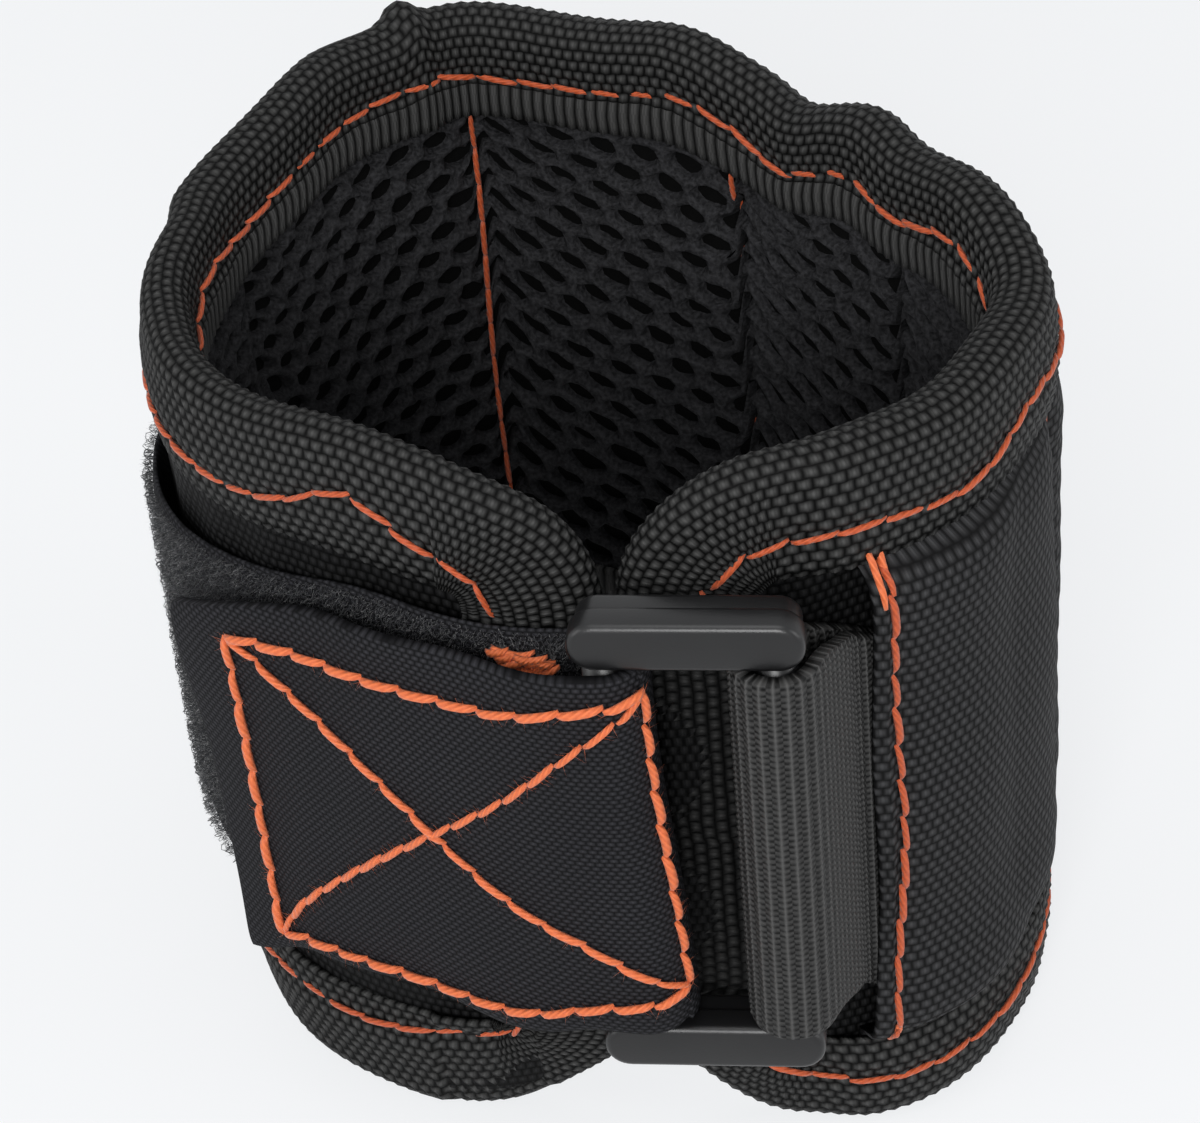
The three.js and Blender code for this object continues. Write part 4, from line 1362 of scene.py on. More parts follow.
tape = np.array([tape_section(*step, length) for step, length in zip(edge, edge_length)])
rows, columns = tape.shape[:2]
yarns_across = np.concatenate([np.arange(ACROSS_YARNS + 1), np.linspace(ACROSS_YARNS, 0, UNDER_POINTS)])
tape_uv = rows_of(np.arange(rows)[:, None] * YARN_ALONG, yarns_across * YARN_ACROSS)
tape_strip = mesh_piece(
    "binding_strip",
    place(*np.moveaxis(tape, -1, 0)),
    grid_faces(rows, columns, wrap_rows=True, wrap_columns=True),
    BINDING_TAPE,
    tape_uv,
    loop_length=EDGE_YARNS * YARN_ALONG,
)
facing_out(tape_strip)
print("strip", triangles(tape_strip), "triangles")

# %% [markdown]
# The floats of the tape are geometry as well as finish, because they show along the outline of the
# rim. A geometry tree pushes the strip's points out and in by the pattern of the weave.

# %% Yarns of the binding
YARN_RISE = 0.08


def strip_lengths(shape):
    """The lengths along and across a strip, and how freely it may swell."""
    along = shape.node("ShaderNodeSeparateXYZ", {0: carried(shape, "strip")})
    return along, along.beside(1), along.beside(2)


def swollen(shape, rise):
    """A shape with its points pushed out along their normals."""
    return moved(shape, scaled(shape.node("GeometryNodeInputNormal"), rise))


def wave(turns):
    """A sine with a top or a bottom at each whole number."""
    return ((turns + 0.5) * math.pi).sin()


def yarn_tree():
    """Floats in a plain weave, and ribs along the inner edge."""
    tree, given, leave = geometry_tree("yarn_crowns", "Pitch along", "Pitch across", "Rise")
    shape = given["Geometry"]
    along, across, free = strip_lengths(shape)
    column = wave(along / given["Pitch along"])
    crossing = column * wave(across / given["Pitch across"])
    crown = crossing + (column - crossing) * (across > RIBBED_FROM)
    close_tree(leave, swollen(shape, crown * given["Rise"] * free), BINDING_TAPE)
    return tree


def carry_strip(piece, uv, free):
    """Stores a strip's own lengths, and how freely it may swell."""
    carry(piece, "strip", rows_of(uv[..., 0], uv[..., 1], free).reshape(-1, 3))


carry_strip(tape_strip, tape_uv, np.concatenate([np.ones(ACROSS_YARNS + 1), np.zeros(UNDER_POINTS)]))
yarn_sizes = {"Pitch along": YARN_ALONG, "Pitch across": YARN_ACROSS, "Rise": YARN_RISE * MM}
binding = grown(tape_strip, yarn_tree(), yarn_sizes, "edge_binding")
across_spine(binding)
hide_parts("edge_binding_left", "edge_binding_right")
report(binding)

# %% [markdown]
# ## Strap
# The strap is one tape. It starts under the panel at the back left, runs along the band with its loop
# pile outwards, goes round the ring's left bar and comes back as the tab. The model has it as three
# pieces, because the tab can be peeled: the sewn strap, the bend, and the tab.

# %% The sewn strap
STRAP_WIDTH = 39
STRAP_MIDDLE = 42.6
STRAP_STANDOFF = 0.8
STRAP_SEWN_LENGTH = 12
STRAP_TILT = 4.6
STRAP_TILT_ALONG = (-96, -60)
STRAP_SIDE_TILT = 1.5
STRAP_SIDE_ALONG = (-64, -46)
STRAP_EDGE_ROUND = 0.35
STRAP_EDGE_SQUARE = 12
STRAP_COLUMNS = 76
STRAP_ROWS = 41
PILE_HEIGHT = 0.7
ON_BINDING = 2 * CLEARANCE + BINDING_THICKNESS
RING_BAR = 3.6
BAR_CLEARANCE = 0.7
BAR_S = LEFT_END - 0.6
WRAP_RADIUS = RING_BAR / 2 + BAR_CLEARANCE + STRAP_THICKNESS / 2
BAR_D = ON_BINDING + STRAP_THICKNESS / 2 + WRAP_RADIUS


def strap_inner(s):
    """The strap's wrist side: on the end's binding, then on the backing, a little off it between."""
    sewn_to = LEFT_END + STRAP_SEWN_LENGTH
    free_to = PANEL_LEFT_EDGE - STRAP_TUCK
    share = np.clip((s - sewn_to) / (free_to - sewn_to), 0, 1)
    stand = STRAP_STANDOFF * np.sin(math.pi * share**2) ** 2
    off = smooth(s, sewn_to, sewn_to + STRAP_SEWN_LENGTH)
    return ON_BINDING + (CLEARANCE - ON_BINDING) * off + stand


def strap_sag(s):
    """How far the strap runs down towards the back."""
    return STRAP_TILT * smooth(s, *STRAP_TILT_ALONG) + STRAP_SIDE_TILT * smooth(s, *STRAP_SIDE_ALONG)


strap_s, strap_across = np.meshgrid(
    np.linspace(BAR_S + CLEARANCE, SEAM_LEFT + STRAP_TUCK, STRAP_COLUMNS),
    np.linspace(-STRAP_WIDTH / 2, STRAP_WIDTH / 2, STRAP_ROWS),
)
strap_round = STRAP_EDGE_ROUND * (np.abs(strap_across) / (STRAP_WIDTH / 2)) ** STRAP_EDGE_SQUARE
strap_z = STRAP_MIDDLE + strap_across - strap_sag(strap_s)
strap_in = strap_inner(strap_s)
pile_foot = strap_in + STRAP_THICKNESS - PILE_HEIGHT
strap = shell(
    "loop_strap_tape",
    place(strap_s, pile_foot - strap_round, strap_z),
    place(strap_s, strap_in + strap_round * 0.5, strap_z),
    TAB_TAPE,
    strap_s,
    strap_z,
)
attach(strap, "band_left")
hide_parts("loop_strap")
report(strap)

# %% Path round the bar
bar_outward = outward_at(BAR_S)
bar_along = left_of(bar_outward)
left_bar = plan_offset(BAR_S, BAR_D)
HOOK_THICKNESS = 1
HOOK_STACK = 2 * CLEARANCE + HOOK_THICKNESS
TAB_SETTLE_LENGTH = 17
FOLD_LEAN = 1.9
FOLD_BACK_SET = 0.3
FOLD_LEAN_HEIGHTS = (22, 58)
FOLD_LEAN_ENDS = (BAR_S - 2, BAR_S + 16)


def tab_middle(s):
    """Distance of the tab's middle: off the bar, then down on the loop pile."""
    lying = strap_inner(s) + STRAP_THICKNESS + HOOK_STACK + STRAP_THICKNESS / 2
    settled = smooth(s, BAR_S, BAR_S + TAB_SETTLE_LENGTH)
    return BAR_D + WRAP_RADIUS + (lying - BAR_D - WRAP_RADIUS) * settled


def folded_point(length, offset):
    """A plan point of the folded strap: on the tab past the bar, and round the bar before it."""
    turn = math.pi - (BAR_S - length) / WRAP_RADIUS
    radius = WRAP_RADIUS + offset
    wrapped = left_bar + bar_outward * (-np.cos(turn) * radius)[..., None]
    wrapped = wrapped + bar_along * (np.sin(turn) * radius)[..., None]
    flat = plan_offset(length, tab_middle(length) + offset)
    return np.where((length < BAR_S)[..., None], wrapped, flat)


def fold_lean(length, z):
    """The fold runs a little out to the right at its lower end."""
    lean = FOLD_LEAN * (1 - smooth(z, *FOLD_LEAN_HEIGHTS)) - FOLD_BACK_SET
    return lean * (1 - smooth(length, *FOLD_LEAN_ENDS))


def folded(length, offset, z):
    """The same with a height, in metres in the model's frame."""
    length, offset, z = (np.asarray(value, float) for value in np.broadcast_arrays(length, offset, z))
    flat = folded_point(length, offset) + hoop_to_frame + bar_along * fold_lean(length, z)[..., None]
    return np.concatenate([flat, z[..., None]], axis=-1) * MM


print("left bar", (left_bar + hoop_to_frame).round(2))

# %% [markdown]
# The tab's upper and lower edges are drawn through a few points, each a length along the band and a
# height. Its tip is cut a little askew, and the stitching buckles the tape between its rows.

# %% Form of the tab
TAB_TIP = BAR_S + 38
TAB_START = BAR_S - 3.6
TAB_TOP = [(-110, 62.2), (-105, 62.3), (-99.5, 61.7), (-94, 61.6), (-88, 61.1), (-78, 58.8), (-67, 53.2)]
TAB_BOTTOM = [(-110, 23.7), (-106.8, 23.3), (-104.6, 23.2), (-102.6, 22.9), (-100.2, 22), (-97.4, 21.4)]
TAB_BOTTOM += [(-94, 21.4), (-86, 21.2), (-78, 19.5), (-67, 15)]
TIP_SLANT = 2.6
EDGE_BUCKLE = 0.35
CROWN_BUCKLE = 0.45
CORNER_LIFT = 0.9
TIP_REACH = 12
CORNER_REACH = 9
UPPER_CORNER = (0.55, 1)
BUCKLED = (BAR_S - 1, BAR_S + 6)


def curve_through(points, x):
    """A smooth curve through a few points, by cubic pieces with averaged slopes."""
    px, py = np.array(points, float).T
    slope = np.gradient(py, px)
    k = np.clip(np.searchsorted(px, x) - 1, 0, len(px) - 2)
    run = px[k + 1] - px[k]
    t = np.clip((x - px[k]) / run, 0, 1)
    h00, h10 = 2 * t**3 - 3 * t**2 + 1, t**3 - 2 * t**2 + t
    h01, h11 = 3 * t**2 - 2 * t**3, t**3 - t**2
    return h00 * py[k] + h10 * run * slope[k] + h01 * py[k + 1] + h11 * run * slope[k + 1]


def tab_height(length, share):
    """The height at a share of the tab's width, from its lower to its upper edge."""
    low = curve_through(TAB_BOTTOM, length)
    return low + (curve_through(TAB_TOP, length) - low) * share


def tab_slant(length, share):
    """The length where a point of the askew tip lies: its lower corner is shorter."""
    return length - TIP_SLANT * (1 - share) * smooth(length, TAB_TIP - TIP_REACH, TAB_TIP)


def tab_buckle(length, share):
    """Small rises and dips of the tape between its rows of stitches."""
    edge_wave = EDGE_BUCKLE * (1 - pillow(share, 6)) * np.sin(length / 2.3 + 3 * share)
    crown = CROWN_BUCKLE * pillow(share, 2) * np.sin((length - BAR_S) / 9)
    lift = CORNER_LIFT * smooth(length, TAB_TIP - CORNER_REACH, TAB_TIP) * smooth(share, *UPPER_CORNER)
    return (edge_wave + crown + lift) * smooth(length, *BUCKLED)


def on_tab(length, share, offset, height=tab_height):
    """A point of the tab, or of what is sewn to it, at an offset from the tape's middle."""
    lift = tab_buckle(length, share)
    return folded(tab_slant(length, share), offset + lift, height(length, share))


print("tab", round(TAB_TIP - BAR_S, 1), "mm past the bar")

# %% The tab
TAB_EDGE_ROUND = 0.45
TAB_EDGE_SQUARE = 16
TAB_COLUMNS = 90
TAB_ROWS = 81
tab_l, tab_share = np.meshgrid(
    np.linspace(TAB_START, TAB_TIP, TAB_COLUMNS), np.linspace(0, 1, TAB_ROWS)
)
tab_round = TAB_EDGE_ROUND * np.abs(2 * tab_share - 1) ** TAB_EDGE_SQUARE
tab = shell(
    "strap_tab_tape",
    on_tab(tab_l, tab_share, STRAP_THICKNESS / 2 - tab_round),
    on_tab(tab_l, tab_share, -STRAP_THICKNESS / 2 + tab_round * 0.3),
    TAB_TAPE,
    tab_l,
    tab_height(tab_l, tab_share),
)
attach(tab, "tab")
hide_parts("strap_tab")
report(tab)

# %% The bend
BEND_INSET = 0.05
BEND_OVERLAP = 0.3
BEND_COLUMNS = 24
BEND_ROWS = 41
bend_foot = BAR_S - math.pi * WRAP_RADIUS
bend_l, bend_share = np.meshgrid(
    np.linspace(bend_foot, TAB_START + BEND_OVERLAP, BEND_COLUMNS), np.linspace(0, 1, BEND_ROWS)
)
sewn_z = STRAP_MIDDLE - STRAP_WIDTH / 2 + STRAP_WIDTH * bend_share
bend_z = sewn_z + (tab_height(bend_l, bend_share) - sewn_z) * smooth(bend_l, bend_foot, TAB_START)
bend = shell(
    "strap_bend_tape",
    folded(bend_l, STRAP_THICKNESS / 2 - BEND_INSET, bend_z),
    folded(bend_l, -STRAP_THICKNESS / 2, bend_z),
    TAB_TAPE,
    bend_l,
    bend_z,
)
bar_in_frame = left_bar + hoop_to_frame
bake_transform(bend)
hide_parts("strap_bend")
report(bend)

# %% [markdown]
# ## Elastic
# A ribbed elastic is looped round the ring's right bar, and both its ends are caught in the front
# right seam. The ribs are a repeat along the loop, so a geometry tree raises them on the smooth strip
# along its normals: one cord each millimetre or so, and the crossing yarns as small beads on them.

# %% The elastic's path
RING_WIDTH = 18.6
RAIL_OVERHANG = 0.8
RING_YAW = math.radians(8.5)
RING_BAR_SPACING = RING_WIDTH - RING_BAR - 2 * RAIL_OVERHANG
ELASTIC_SEAM_MIDDLE = 33.8
ELASTIC_SHOULDER = 2.4
ELASTIC_DIP = 1.6
ELASTIC_INNER = CLEARANCE + ELASTIC_THICKNESS / 2
ELASTIC_OUTER = ELASTIC_INNER + ELASTIC_THICKNESS + CLEARANCE
ELASTIC_WRAP = RING_BAR / 2 + BAR_CLEARANCE + ELASTIC_THICKNESS / 2
ELASTIC_STEP = 0.18
WRAP_STEPS = 60
PATH_SMOOTHINGS = 30
right_bar = left_bar + RING_BAR_SPACING * np.array([math.cos(RING_YAW), -math.sin(RING_YAW)])


def touch_turn(far, side):
    """The turn at which a line from a far point touches the wrap round the right bar."""
    away = far - right_bar
    return math.atan2(away[1], away[0]) + side * math.acos(ELASTIC_WRAP / np.linalg.norm(away))


enters = PANEL_RIGHT_EDGE + ELASTIC_THICKNESS
seam_s = np.array([SEAM_RIGHT - ELASTIC_TUCK, SEAM_RIGHT, enters])
within = plan_offset(seam_s, ELASTIC_INNER)
without = plan_offset(seam_s, ELASTIC_OUTER)[::-1]
shoulder = plan_offset(enters + ELASTIC_DIP, ELASTIC_OUTER + ELASTIC_SHOULDER)
first_turn = touch_turn(within[-1], 1)
last_turn = touch_turn(shoulder, -1)
while last_turn < first_turn:
    last_turn += 2 * math.pi
turns = np.linspace(first_turn, last_turn, WRAP_STEPS)
round_bar = right_bar + ELASTIC_WRAP * rows_of(np.cos(turns), np.sin(turns))
rough_path = np.concatenate([within, round_bar, [shoulder], without])
path_run = run_along(rough_path)
ELASTIC_LENGTH = path_run[-1]
elastic_length = np.arange(0, ELASTIC_LENGTH, ELASTIC_STEP)
elastic_path = along_row(rough_path, path_run, elastic_length)
for _ in range(PATH_SMOOTHINGS):
    elastic_path[1:-1] = (elastic_path[:-2] + 2 * elastic_path[1:-1] + elastic_path[2:]) / 4
elastic_side = -left_of(unit(np.gradient(elastic_path, axis=0)))
print("elastic loop", round(ELASTIC_LENGTH, 1), "mm long")

# %% The elastic's ribs
ELASTIC_WIDTH = 39.1
ELASTIC_ROWS = 193
ELASTIC_BODY = ELASTIC_THICKNESS / 2 - 0.1
SELVEDGE = 0.02
RIB_RISE = 0.16
RIB_ROUND = 0.7
BEAD_RISE = 0.08


def rib_tree():
    """Cords along the loop, with staggered beads on them."""
    tree, given, leave = geometry_tree("elastic_ribs", "Rib pitch", "Rib rise", "Bead pitch", "Bead rise")
    shape = given["Geometry"]
    along, across, free = strip_lengths(shape)
    number = along / given["Rib pitch"]
    rib = hill(number) ** RIB_ROUND
    bead = ((across / given["Bead pitch"] + number.floor() % 2 * 0.5) * (2 * math.pi)).sin()
    rise = (rib * given["Rib rise"] + bead * rib * given["Bead rise"]) * free
    close_tree(leave, swollen(shape, rise * MM), ELASTIC_YARN)
    return tree


from_bar = np.linalg.norm(elastic_path - right_bar, axis=1)
climb = np.clip((from_bar - ELASTIC_WRAP) / (from_bar[0] - ELASTIC_WRAP), 0, 1)
elastic_middle = STRAP_MIDDLE + (ELASTIC_SEAM_MIDDLE - STRAP_MIDDLE) * climb
elastic_share = np.linspace(-0.5, 0.5, ELASTIC_ROWS)[:, None]
elastic_z = elastic_middle + ELASTIC_WIDTH * elastic_share


def elastic_face(side):
    """The loop's outer or inner face."""
    x, y = (elastic_path + side * ELASTIC_BODY * elastic_side + hoop_to_frame).T
    return rows_of(x, y, elastic_z) * MM


strip = shell("elastic_strip", elastic_face(1), elastic_face(-1), ELASTIC_YARN, elastic_length, elastic_z)
elastic_uv = rows_of(elastic_length, elastic_z)
free = smooth(0.5 - np.abs(elastic_share), 0, SELVEDGE)
carry_strip(strip, np.stack([elastic_uv, elastic_uv]), free)
rib_sizes = {"Rib pitch": RIB_PITCH, "Rib rise": RIB_RISE, "Bead pitch": BEAD_PITCH, "Bead rise": BEAD_RISE}
elastic = grown(strip, rib_tree(), rib_sizes, "elastic_loop_web")
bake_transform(elastic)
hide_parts("elastic_loop")
report(elastic)

# %% [markdown]
# ## Ring
# The ring is moulded plastic: two thick end rails joined by two round bars. Each rail is a soft block
# with a proud lip along its front. Bevelled blocks make the right highlights along the edges.

# %% Soft blocks
CORNER_SEGMENTS = 8
EDGE_SEGMENTS = 4
SAME_DEPTH = 1e-6


def soft_block(work, size, at, corner, edge):
    """Adds a block that is a rounded rectangle from the front, with softened rims."""
    block = bmesh.ops.create_cube(work, size=1)["verts"]
    for vert in block:
        vert.co = Vector([c * length for c, length in zip(vert.co, size)])
    for deep, offset, segments in ((True, corner, CORNER_SEGMENTS), (False, edge, EDGE_SEGMENTS)):
        edges = dict.fromkeys(e for vert in block for e in vert.link_edges)
        picked = [e for e in edges if (abs(e.verts[0].co.y - e.verts[1].co.y) > SAME_DEPTH) == deep]
        bent = bmesh.ops.bevel(
            work, geom=picked, offset=offset, segments=segments, profile=0.5, affect="EDGES"
        )
        block = list(dict.fromkeys(vert for vert in [*block, *bent["verts"]] if vert.is_valid))
    for vert in block:
        vert.co += Vector(at)


print("soft blocks with", CORNER_SEGMENTS, "steps in a corner")

# %% Ring
RAIL_HEIGHT = 4.6
RAIL_DEPTH = 5
RAIL_BACK = 0.6
RAIL_CORNER = 1.85
RAIL_EDGE = 0.75
RAIL_LIP = 0.4
LIP_DEPTH = 2.9
LIP_CORNER = 2.2
LIP_EDGE = 0.65
BAR_SIDES = 28
SLOT_PLAY = 0.6
RAIL_MIDDLE = (STRAP_WIDTH + SLOT_PLAY + RAIL_HEIGHT) / 2
work = bmesh.new()
middle_x = RING_BAR_SPACING / 2
rail = (RING_WIDTH - 2 * RAIL_LIP, RAIL_DEPTH - RAIL_BACK, RAIL_HEIGHT - 2 * RAIL_LIP)
lip = (RING_WIDTH, LIP_DEPTH, RAIL_HEIGHT)
for end_z in (-RAIL_MIDDLE, RAIL_MIDDLE):
    soft_block(work, rail, (middle_x, RAIL_BACK / 2, end_z), RAIL_CORNER, RAIL_EDGE)
    soft_block(work, lip, (middle_x, (LIP_DEPTH - RAIL_DEPTH) / 2, end_z), LIP_CORNER, LIP_EDGE)
for bar_x in (0, RING_BAR_SPACING):
    bmesh.ops.create_cone(
        work,
        cap_ends=True,
        segments=BAR_SIDES,
        radius1=RING_BAR / 2,
        radius2=RING_BAR / 2,
        depth=2 * RAIL_MIDDLE,
        matrix=Matrix.Translation((bar_x, 0, 0)),
    )
ring_mesh = bpy.data.meshes.new("ring_moulding")
work.to_mesh(ring_mesh)
work.free()
ring_place = Matrix.Translation((*bar_in_frame, STRAP_MIDDLE)) @ Matrix.Rotation(-RING_YAW, 4, "Z")
ring_mesh.transform(Matrix.Scale(MM, 4) @ ring_place)
ring_mesh.materials.append(RING_PLASTIC)
ring_mesh.shade_smooth()
ring = added("ring_moulding", ring_mesh)
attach(ring, "ring")
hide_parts("ring")
report(ring)

# %% [markdown]
# ## Stitches
# A lockstitch shows as a row of short threads that dip into the cloth at both ends. One bean-shaped
# thread is made once, and a geometry tree puts a copy on each point, turned along the seam and out of
# the cloth, with a little play in size from a fixed seed.

# %% One stitch, and the tree that sews
STITCH_RINGS = 8
STITCH_SIDES = 6
STITCH_SLIM = 0.4
STITCH_TOP = 0.3
STITCH_ARCH = 0.55
STITCH_UV = 3.6
THREAD_THICKNESS = 0.56


def stitch_bean():
    """A thread one unit long and one unit thick: it arches up from two sunken ends."""
    share = np.linspace(-0.5, 0.5, STITCH_RINGS)[:, None]
    turn = np.linspace(0, 2 * math.pi, STITCH_SIDES, endpoint=False)
    sunken = np.abs(2 * share) ** 4
    radius = 0.5 * (1 - STITCH_SLIM * sunken)
    height = STITCH_TOP - STITCH_ARCH * sunken
    points = rows_of(share, radius * np.cos(turn), height + radius * np.sin(turn))
    uv = rows_of(share, turn / (2 * math.pi)) * STITCH_UV
    faces = grid_faces(STITCH_RINGS, STITCH_SIDES, wrap_columns=True)
    first_end = range(STITCH_SIDES)
    last_end = range((STITCH_RINGS - 1) * STITCH_SIDES, STITCH_RINGS * STITCH_SIDES)
    faces += [tuple(first_end), tuple(last_end)[::-1]]
    return facing_out(mesh_piece("stitch_bean", points, faces, ORANGE_THREAD, uv))


def turned_along(shape):
    """The turn that lays a model's x along the points' run, and its z out of the cloth."""
    axes = {0: carried(shape, "along"), 1: carried(shape, "out")}
    return shape.node("FunctionNodeAxesToRotation", axes, primary_axis="X", secondary_axis="Z")


def planted(leave, points, model, turn, scale, finish):
    """Ends a tree with a copy of a model on each point."""
    copy = points.node("GeometryNodeObjectInfo", {0: model}, out="Geometry")
    values = {"Points": points, "Instance": copy, "Rotation": turn, "Scale": scale}
    close_tree(leave, points.node("GeometryNodeInstanceOnPoints", values), finish)


def sewing_tree(bean):
    """A stitch on each point, with its own length and thickness."""
    tree, given, leave = geometry_tree("sewing", "Thickness", "Play", "Seed")
    shape = given["Geometry"]
    values = {2: 1 - given["Play"], 3: 1 + given["Play"], "Seed": given["Seed"]}
    play = shape.node("FunctionNodeRandomValue", values, out=1, data_type="FLOAT")
    length = carried(shape, "length", "FLOAT") * play
    thick = given["Thickness"] * carried(shape, "thick", "FLOAT") * play
    scale = shape.node("ShaderNodeCombineXYZ", {0: length, 1: thick, 2: thick})
    planted(leave, shape, bean, turned_along(shape), scale, ORANGE_THREAD)
    return tree


bean = stitch_bean()
sewing = sewing_tree(bean)
print("one stitch", triangles(bean), "triangles")

# %% Rows of stitches
STITCH_PLAY = 0.1


def stitch_row(points, normals, pitch, thick=1.0, gap=0.0):
    """Stitches along a close row of points: middle, direction, outward direction and length."""
    run = run_along(points)
    count = max(1, round(run[-1] / (pitch * MM)))
    marks = np.linspace(0, run[-1], count + 1)
    middles = (marks[1:] + marks[:-1]) / 2
    chord = np.diff(along_row(points, run, marks), axis=0)
    return {
        "at": along_row(points, run, middles),
        "along": unit(chord),
        "out": along_row(normals, run, middles),
        "length": np.linalg.norm(chord, axis=1) * (1 - gap),
        "thick": np.full(count, thick),
    }


def slanted(row, slant):
    """The same row with each stitch turned a little, as a twisted thread lies."""
    side = np.cross(row["out"], row["along"])
    return {**row, "along": unit(row["along"] + slant * side)}


def sewn_piece(name, rows, seed, finish=ORANGE_THREAD):
    """All rows of stitches that move together, as one mesh."""
    whole = {key: np.concatenate([row[key] for row in rows]) for key in rows[0]}
    points = points_piece(name + "_points", whole.pop("at"), **whole)
    values = {"Thickness": THREAD_THICKNESS * MM, "Play": STITCH_PLAY, "Seed": seed}
    made = grown(points, sewing, values, name)
    made.data.materials[0] = finish
    return made


def normal_of(place_at, a, b, step=0.4):
    """The direction across a face given by place_at(a, b), from its two tangents."""
    run = place_at(a + step, b) - place_at(a - step, b)
    rise = place_at(a, b + step) - place_at(a, b - step)
    return unit(np.cross(rise, run))


print("rows ready")

# %% Faces that are sewn
SEAM_LOW = 11.2
SEAM_HIGH = 63.8
STITCH_GAP = -0.09
THREAD_LIFT = 0.1
LINING_THREAD_LIFT = 0.15
THREAD_SINK = 1.5
CLOSED_FROM = (SEAM_BACK - 8, SEAM_BACK - 4)
SHOWN_HEIGHTS = (SEAM_HIGH - 5, SEAM_HIGH - 3.5)
SHOWN_UP_TO = (SEAM_BACK + 4, SEAM_BACK + 8)
BOLD = 1.2
EDGE_SLANT = 0.07


def panel_at(s, z):
    """A point just off the panel's face."""
    lean = np.where(np.abs(s - SEAM_RIGHT) < 6, seam_lean(z), 0)
    return place(s, panel_outer(s - lean, z) + THREAD_LIFT, z)


def thread_sink(s, z):
    """Past the middle seam the lining closes over the thread, all but the top of the next seam."""
    shows = smooth(z, *SHOWN_HEIGHTS) * (1 - smooth(s, *SHOWN_UP_TO))
    return THREAD_SINK * smooth(s, *CLOSED_FROM) * (1 - shows)


def lining_at(s, z):
    """A point just off the lining's face, or sunk in it."""
    return place(s, lining_face(s, z) - LINING_THREAD_LIFT + thread_sink(s, z), z)


def edge_row(outside):
    """The stitch line that follows the binding, outside or inside."""
    s, z, into_s, into_z = edge.T
    depth = stitch_depth(s, z, outside)
    depth = stitch_depth(s + into_s * depth, z, outside)
    face = binding_face(s, z, into_s, depth, edge_length, outside)
    at_s, at_z = s + into_s * depth, z + into_z * depth
    side = 1 if outside else -1
    x, y = side * outward_at(at_s).T
    points = place(at_s, face + side * THREAD_LIFT, at_z)
    return slanted(stitch_row(points, rows_of(x, y, 0), SEAM_PITCH, 1, STITCH_GAP), side * EDGE_SLANT)


print("pocket seams from", SEAM_LOW, "to", SEAM_HIGH, "mm up")

# %% Seams of the pockets and of the edge
SEAM_STEPS = 120
SEAM_WANDER = 0.25
SEAM_SLANT = 0.08
band_rows = []
seam_z = np.linspace(SEAM_LOW, SEAM_HIGH, SEAM_STEPS)
for seam in SEAMS:
    at_front = seam == SEAM_RIGHT
    seam_line = seam + SEAM_WANDER * np.sin(seam_z / 7 + seam)
    points = panel_at(seam_line + (seam_lean(seam_z) if at_front else 0), seam_z)
    normals = normal_of(panel_at, seam_line, seam_z)
    row = stitch_row(points, normals, SEAM_PITCH, BOLD if at_front else 1, STITCH_GAP)
    band_rows.append(slanted(row, SEAM_SLANT))
    if seam not in (SEAM_LEFT, SEAM_RIGHT):
        normals = -normal_of(lining_at, seam_line, seam_z)
        band_rows.append(stitch_row(lining_at(seam_line, seam_z), normals, SEAM_PITCH, 1, STITCH_GAP))
band_rows += [edge_row(True), edge_row(False)]
band_stitches = sewn_piece("band_stitches", band_rows, 3, EDGE_THREAD_SHADED)
across_spine(band_stitches)
report(band_stitches)

# %% Box and cross on the tab
BOX_PITCH = 3.6
BOX_TIP = TAB_TIP - 6.4
BOX_FOLD = BAR_S - 3.2
BOX_GAP = -0.05
BOX_SLANT = 0.07
BOX_BOLD = 1.42
CROSS_BOLD = 1.2
BOX_STEPS = 90
BOX_NORMAL_STEP = 0.02
UNDER_TAB = -2


def tab_at(length, share):
    """A point just off the tab's face."""
    return on_tab(length, share, STRAP_THICKNESS / 2 + THREAD_LIFT)


def tab_row(start, end, bow=0.0, thick=BOX_BOLD):
    """A row of stitches from one corner of the box to another, in a slight bow."""
    share = np.linspace(0, 1, BOX_STEPS)
    length = start[0] + (end[0] - start[0]) * share
    across = start[1] + (end[1] - start[1]) * share + bow * np.sin(math.pi * share)
    points = tab_at(length, across)
    out = normal_of(tab_at, length, across, BOX_NORMAL_STEP)
    towards = points - folded(length, UNDER_TAB, tab_height(length, across))
    out = out * np.sign((out * towards).sum(axis=1, keepdims=True))
    return slanted(stitch_row(points, out, BOX_PITCH, thick, BOX_GAP), BOX_SLANT)


top_tip, top_fold = (BOX_TIP, 0.925), (BOX_FOLD, 0.958)
low_tip, low_fold = (BOX_TIP + 0.6, 0.06), (BOX_FOLD, 0.115)
tab_rows = [
    tab_row(top_tip, top_fold, -0.05),
    tab_row(low_tip, low_fold, -0.035),
    tab_row(top_tip, low_tip),
    tab_row(top_fold, low_fold),
    tab_row(top_tip, low_fold, 0.01, CROSS_BOLD),
    tab_row(low_tip, top_fold, -0.01, CROSS_BOLD),
]
tab_stitches = sewn_piece("tab_stitches", tab_rows, 5)
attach(tab_stitches, "tab")
report(tab_stitches)

# %% [markdown]
# ## Bar tacks
# Where a seam ends, it is sewn over a few times. The right seam has such a tack at both ends, and the
# strap has a tangled one at its upper corner beside the ring.

